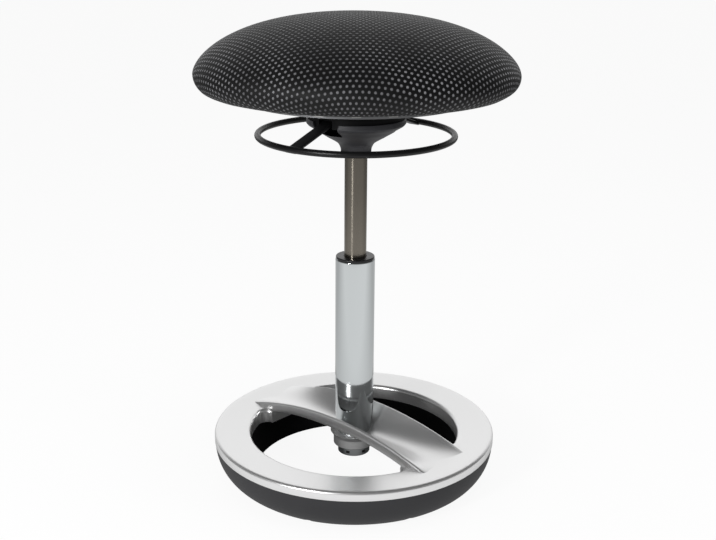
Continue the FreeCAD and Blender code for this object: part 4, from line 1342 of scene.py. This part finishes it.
@dataclass
class Studio:
    """Pale floor, white surround, soft lamps and the camera. Metres and degrees."""

    lens: float = 57.38
    distance: float = 1.3753
    height: float = 0.7214
    pitch: float = 17.89
    roll: float = 0.49
    yaw: float = -0.15
    fill_light: float = 0.42
    bright_side: float = 1.12
    dim_side: float = 0.13
    dim_overhead: float = 0.05
    floor_glow: float = 0.92
    floor_edge: float = 1.14
    shade_behind: float = 0.1
    floor_beyond: float = 0.3
    floor_behind: float = 0.62
    floor_radius: float = 14.0
    floor_gap: float = 0.0005
    bright_from: float = 0.84
    dim_from: float = 0.45
    overhead_from: float = 0.4
    overhead_full: float = 0.7

    def camera(self) -> None:
        """Places the camera at the photograph's viewing angle."""
        data = bpy.data.cameras.new("camera")
        data.lens = self.lens
        data.clip_start, data.clip_end = 0.05, 60.0
        camera = bpy.data.objects.new("camera", data)
        bpy.context.scene.collection.objects.link(camera)
        pitch, roll, yaw = (math.radians(value) for value in (self.pitch, self.roll, self.yaw))
        forward = Vector((0.0, math.cos(pitch), -math.sin(pitch)))
        up = Vector((0.0, math.sin(pitch), math.cos(pitch)))
        right = Vector((1.0, 0.0, 0.0))
        turn = Matrix.Rotation(yaw, 3, "Z")
        forward, up, right = turn @ forward, turn @ up, turn @ right
        across = math.cos(roll) * right + math.sin(roll) * up
        upward = -math.sin(roll) * right + math.cos(roll) * up
        place = Matrix((across, upward, -forward)).transposed().to_4x4()
        place.translation = Vector((0.0, -self.distance, self.height))
        camera.matrix_world = place
        bpy.context.scene.camera = camera

    def seen(self, tree: bpy.types.NodeTree, light: float | Socket, mirrored: float | Socket) -> Socket:
        """Returns 1 for the camera and through glass, one value for light and one for mirrors.

        Args:
            tree: The nodes that it joins.
            light: Value where the ray only lights something.
            mirrored: Value where the ray comes from a mirror.

        Returns:
            The chosen value.
        """
        path = add_node(tree, "ShaderNodeLightPath")
        straight = add_node(
            tree, "ShaderNodeMath", {"operation": "MAXIMUM"},
            {0: (path, "Is Camera Ray"), 1: (path, "Is Transmission Ray")},
        )

        def blend(share: Socket, low: float | Socket, high: float | Socket) -> Socket:
            """Mixes two values by a share."""
            settings = {at: value for at, value in ((2, low), (3, high)) if isinstance(value, float)}
            links = {at: value for at, value in ((2, low), (3, high)) if not isinstance(value, float)}
            return add_node(tree, "ShaderNodeMix", settings, {0: share, **links}), "Result"

        dim = blend((path, "Is Glossy Ray"), light, mirrored)
        return blend((straight, "Value"), dim, 1.0)

    def surround(self) -> None:
        """Makes the white surround: softer as a light, dim in mirrors overhead and on the camera's side."""
        world = bpy.data.worlds.new("surround")
        world.use_nodes = True
        tree = world.node_tree
        background = tree.nodes["Background"]
        background.inputs["Color"].default_value = (1.0, 1.0, 1.0, 1.0)
        where = add_node(tree, "ShaderNodeTexCoord")
        parts = add_node(tree, "ShaderNodeSeparateXYZ", links={0: (where, "Generated")})
        front = add_node(
            tree, "ShaderNodeMapRange",
            {"interpolation_type": "SMOOTHSTEP", "From Min": self.bright_from, "From Max": self.dim_from},
            {"Value": (parts, "Y")},
        )
        overhead = add_node(
            tree, "ShaderNodeMapRange",
            {"interpolation_type": "SMOOTHSTEP", "From Min": self.overhead_from,
             "From Max": self.overhead_full, "To Min": self.dim_side, "To Max": self.dim_overhead},
            {"Value": (parts, "Z")},
        )
        mirrored = add_node(
            tree, "ShaderNodeMix", {2: self.bright_side}, {0: (front, "Result"), 3: (overhead, "Result")},
        )
        strength = self.seen(tree, self.fill_light, (mirrored, "Result"))
        tree.links.new(strength[0].outputs[strength[1]], background.inputs["Strength"])
        bpy.context.scene.world = world

    def camera_share(self, tree: bpy.types.NodeTree) -> Socket:
        """Returns the share of the floor's glow: part for the camera, to show shadows, all for mirrors."""
        path = add_node(tree, "ShaderNodeLightPath")
        share = add_node(
            tree, "ShaderNodeMapRange", {"To Min": 1.0, "To Max": self.floor_glow},
            {"Value": (path, "Is Camera Ray")},
        )
        return share, "Result"

    def mirrored_floor(self, tree: bpy.types.NodeTree) -> Socket:
        """Returns the floor's brightness in mirrors: painted shade at the base, a painted pool of light round
        it, then dim.
        """
        where = add_node(tree, "ShaderNodeTexCoord")
        shifted = add_node(
            tree, "ShaderNodeVectorMath", {"operation": "SUBTRACT", 1: (0.0, self.shade_behind, 0.0)},
            {0: (where, "Object")},
        )
        reach = add_node(tree, "ShaderNodeVectorMath", {"operation": "LENGTH"}, {0: (shifted, "Vector")})
        away = add_node(tree, "ShaderNodeMapRange", {"From Max": 2.0}, {"Value": (reach, "Value")})
        pool = add_node(tree, "ShaderNodeValToRGB", links={"Fac": (away, "Result")})
        shades = (
            (0.07, 0.06), (0.11, 0.5), (0.15, 1.0),
            (self.floor_edge / 2 - 0.06, 1.0), (self.floor_edge / 2 + 0.06, self.floor_beyond),
        )
        ramp(pool, [(place, (shade, shade, shade, 1.0)) for place, shade in shades])
        parts = add_node(tree, "ShaderNodeSeparateXYZ", links={0: (where, "Object")})
        back = add_node(
            tree, "ShaderNodeMapRange",
            {"From Min": -0.4, "From Max": 0.4, "To Min": 1.0, "To Max": self.floor_behind},
            {"Value": (parts, "Y")},
        )
        shade = add_node(
            tree, "ShaderNodeMath", {"operation": "MULTIPLY"}, {0: (pool, "Color"), 1: (back, "Result")},
        )
        return shade, "Value"

    def floor(self) -> None:
        """Lays the pale floor, nearly as white as the surround."""
        deselect()
        bpy.ops.mesh.primitive_circle_add(
            vertices=96, radius=self.floor_radius, fill_type="NGON", location=(0, 0, -self.floor_gap),
        )
        floor = bpy.context.object
        floor.name = "floor"
        settle(floor)
        paper = bpy.data.materials.new("paper_floor")
        paper.use_nodes = True
        tree = paper.node_tree
        shader = tree.nodes["Principled BSDF"]
        path = add_node(tree, "ShaderNodeLightPath")
        # For all rays but the camera's the floor is mid grey: painted shade that darkens the undersides it
        # lights.
        paint = add_node(
            tree, "ShaderNodeMix", {"data_type": "RGBA", 6: linear("8c8c8c"), 7: linear("f4f4f4")},
            {0: (path, "Is Camera Ray")},
        )
        tree.links.new(paint.outputs[2], shader.inputs["Base Color"])
        shader.inputs["Roughness"].default_value = 0.9
        shader.inputs["Specular IOR Level"].default_value = 0.1
        # Mirrors see the floor's painted shade and light instead of its own shading.
        strength = self.seen(tree, 0.0, self.mirrored_floor(tree))
        glow = add_node(tree, "ShaderNodeEmission", {"Color": (1.0, 1.0, 1.0, 1.0)}, {"Strength": strength})
        share = self.seen(tree, 0.0, 1.0)
        share = add_node(
            tree, "ShaderNodeMath", {"operation": "MINIMUM"}, {0: share, 1: self.camera_share(tree)},
        )
        mixed = add_node(
            tree, "ShaderNodeMixShader",
            links={0: (share, "Value"), 1: (shader, "BSDF"), 2: (glow, "Emission")},
        )
        output = tree.nodes["Material Output"]
        tree.links.new(mixed.outputs["Shader"], output.inputs["Surface"])
        floor.data.materials.append(paper)

    def lamp(
        self, name: str, place: Point, aim: Point, size: float, power: float, mirrored: bool = True,
    ) -> None:
        """Hangs a soft square lamp.

        Args:
            name: Name of the lamp.
            place: Where it hangs.
            aim: Where it points.
            size: Length of its side.
            power: Power in watts.
            mirrored: Whether mirrors show it.
        """
        data = bpy.data.lights.new(name, "AREA")
        data.size = size
        data.energy = power
        lamp = bpy.data.objects.new(name, data)
        bpy.context.scene.collection.objects.link(lamp)
        lamp.location = place
        lamp.rotation_euler = (Vector(aim) - Vector(place)).to_track_quat("-Z", "Y").to_euler()
        lamp.visible_glossy = mirrored

    def build(self) -> None:
        """Sets the studio up."""
        self.camera()
        self.surround()
        self.floor()
        self.lamp("top_lamp", (0.2, -0.3, 2.2), (0.0, 0.0, 0.4), 1.6, 11.0, False)
        self.lamp("front_lamp", (-1.15, -1.64, 0.9), (0.0, 0.0, 0.4), 0.3, 24.0)
        self.lamp("left_lamp", (-1.8, -1.2, 1.3), (0.0, 0.0, 0.3), 1.2, 9.0, False)
        self.lamp("right_lamp", (1.9, -1.0, 1.0), (0.0, 0.0, 0.3), 0.8, 12.0, False)
        bpy.context.scene.view_settings.view_transform = "Standard"


def main() -> None:
    """Builds the studio and every sub-assembly in order."""
    logging.basicConfig(level=logging.INFO, format="%(message)s")
    Studio().build()
    RingCasting().build()
    RockerRing().build()
    LiftColumn().build()
    SeatMechanism().build()
    RingLever().build()
    DomedSeat().build()


if __name__ == "__main__":
    main()
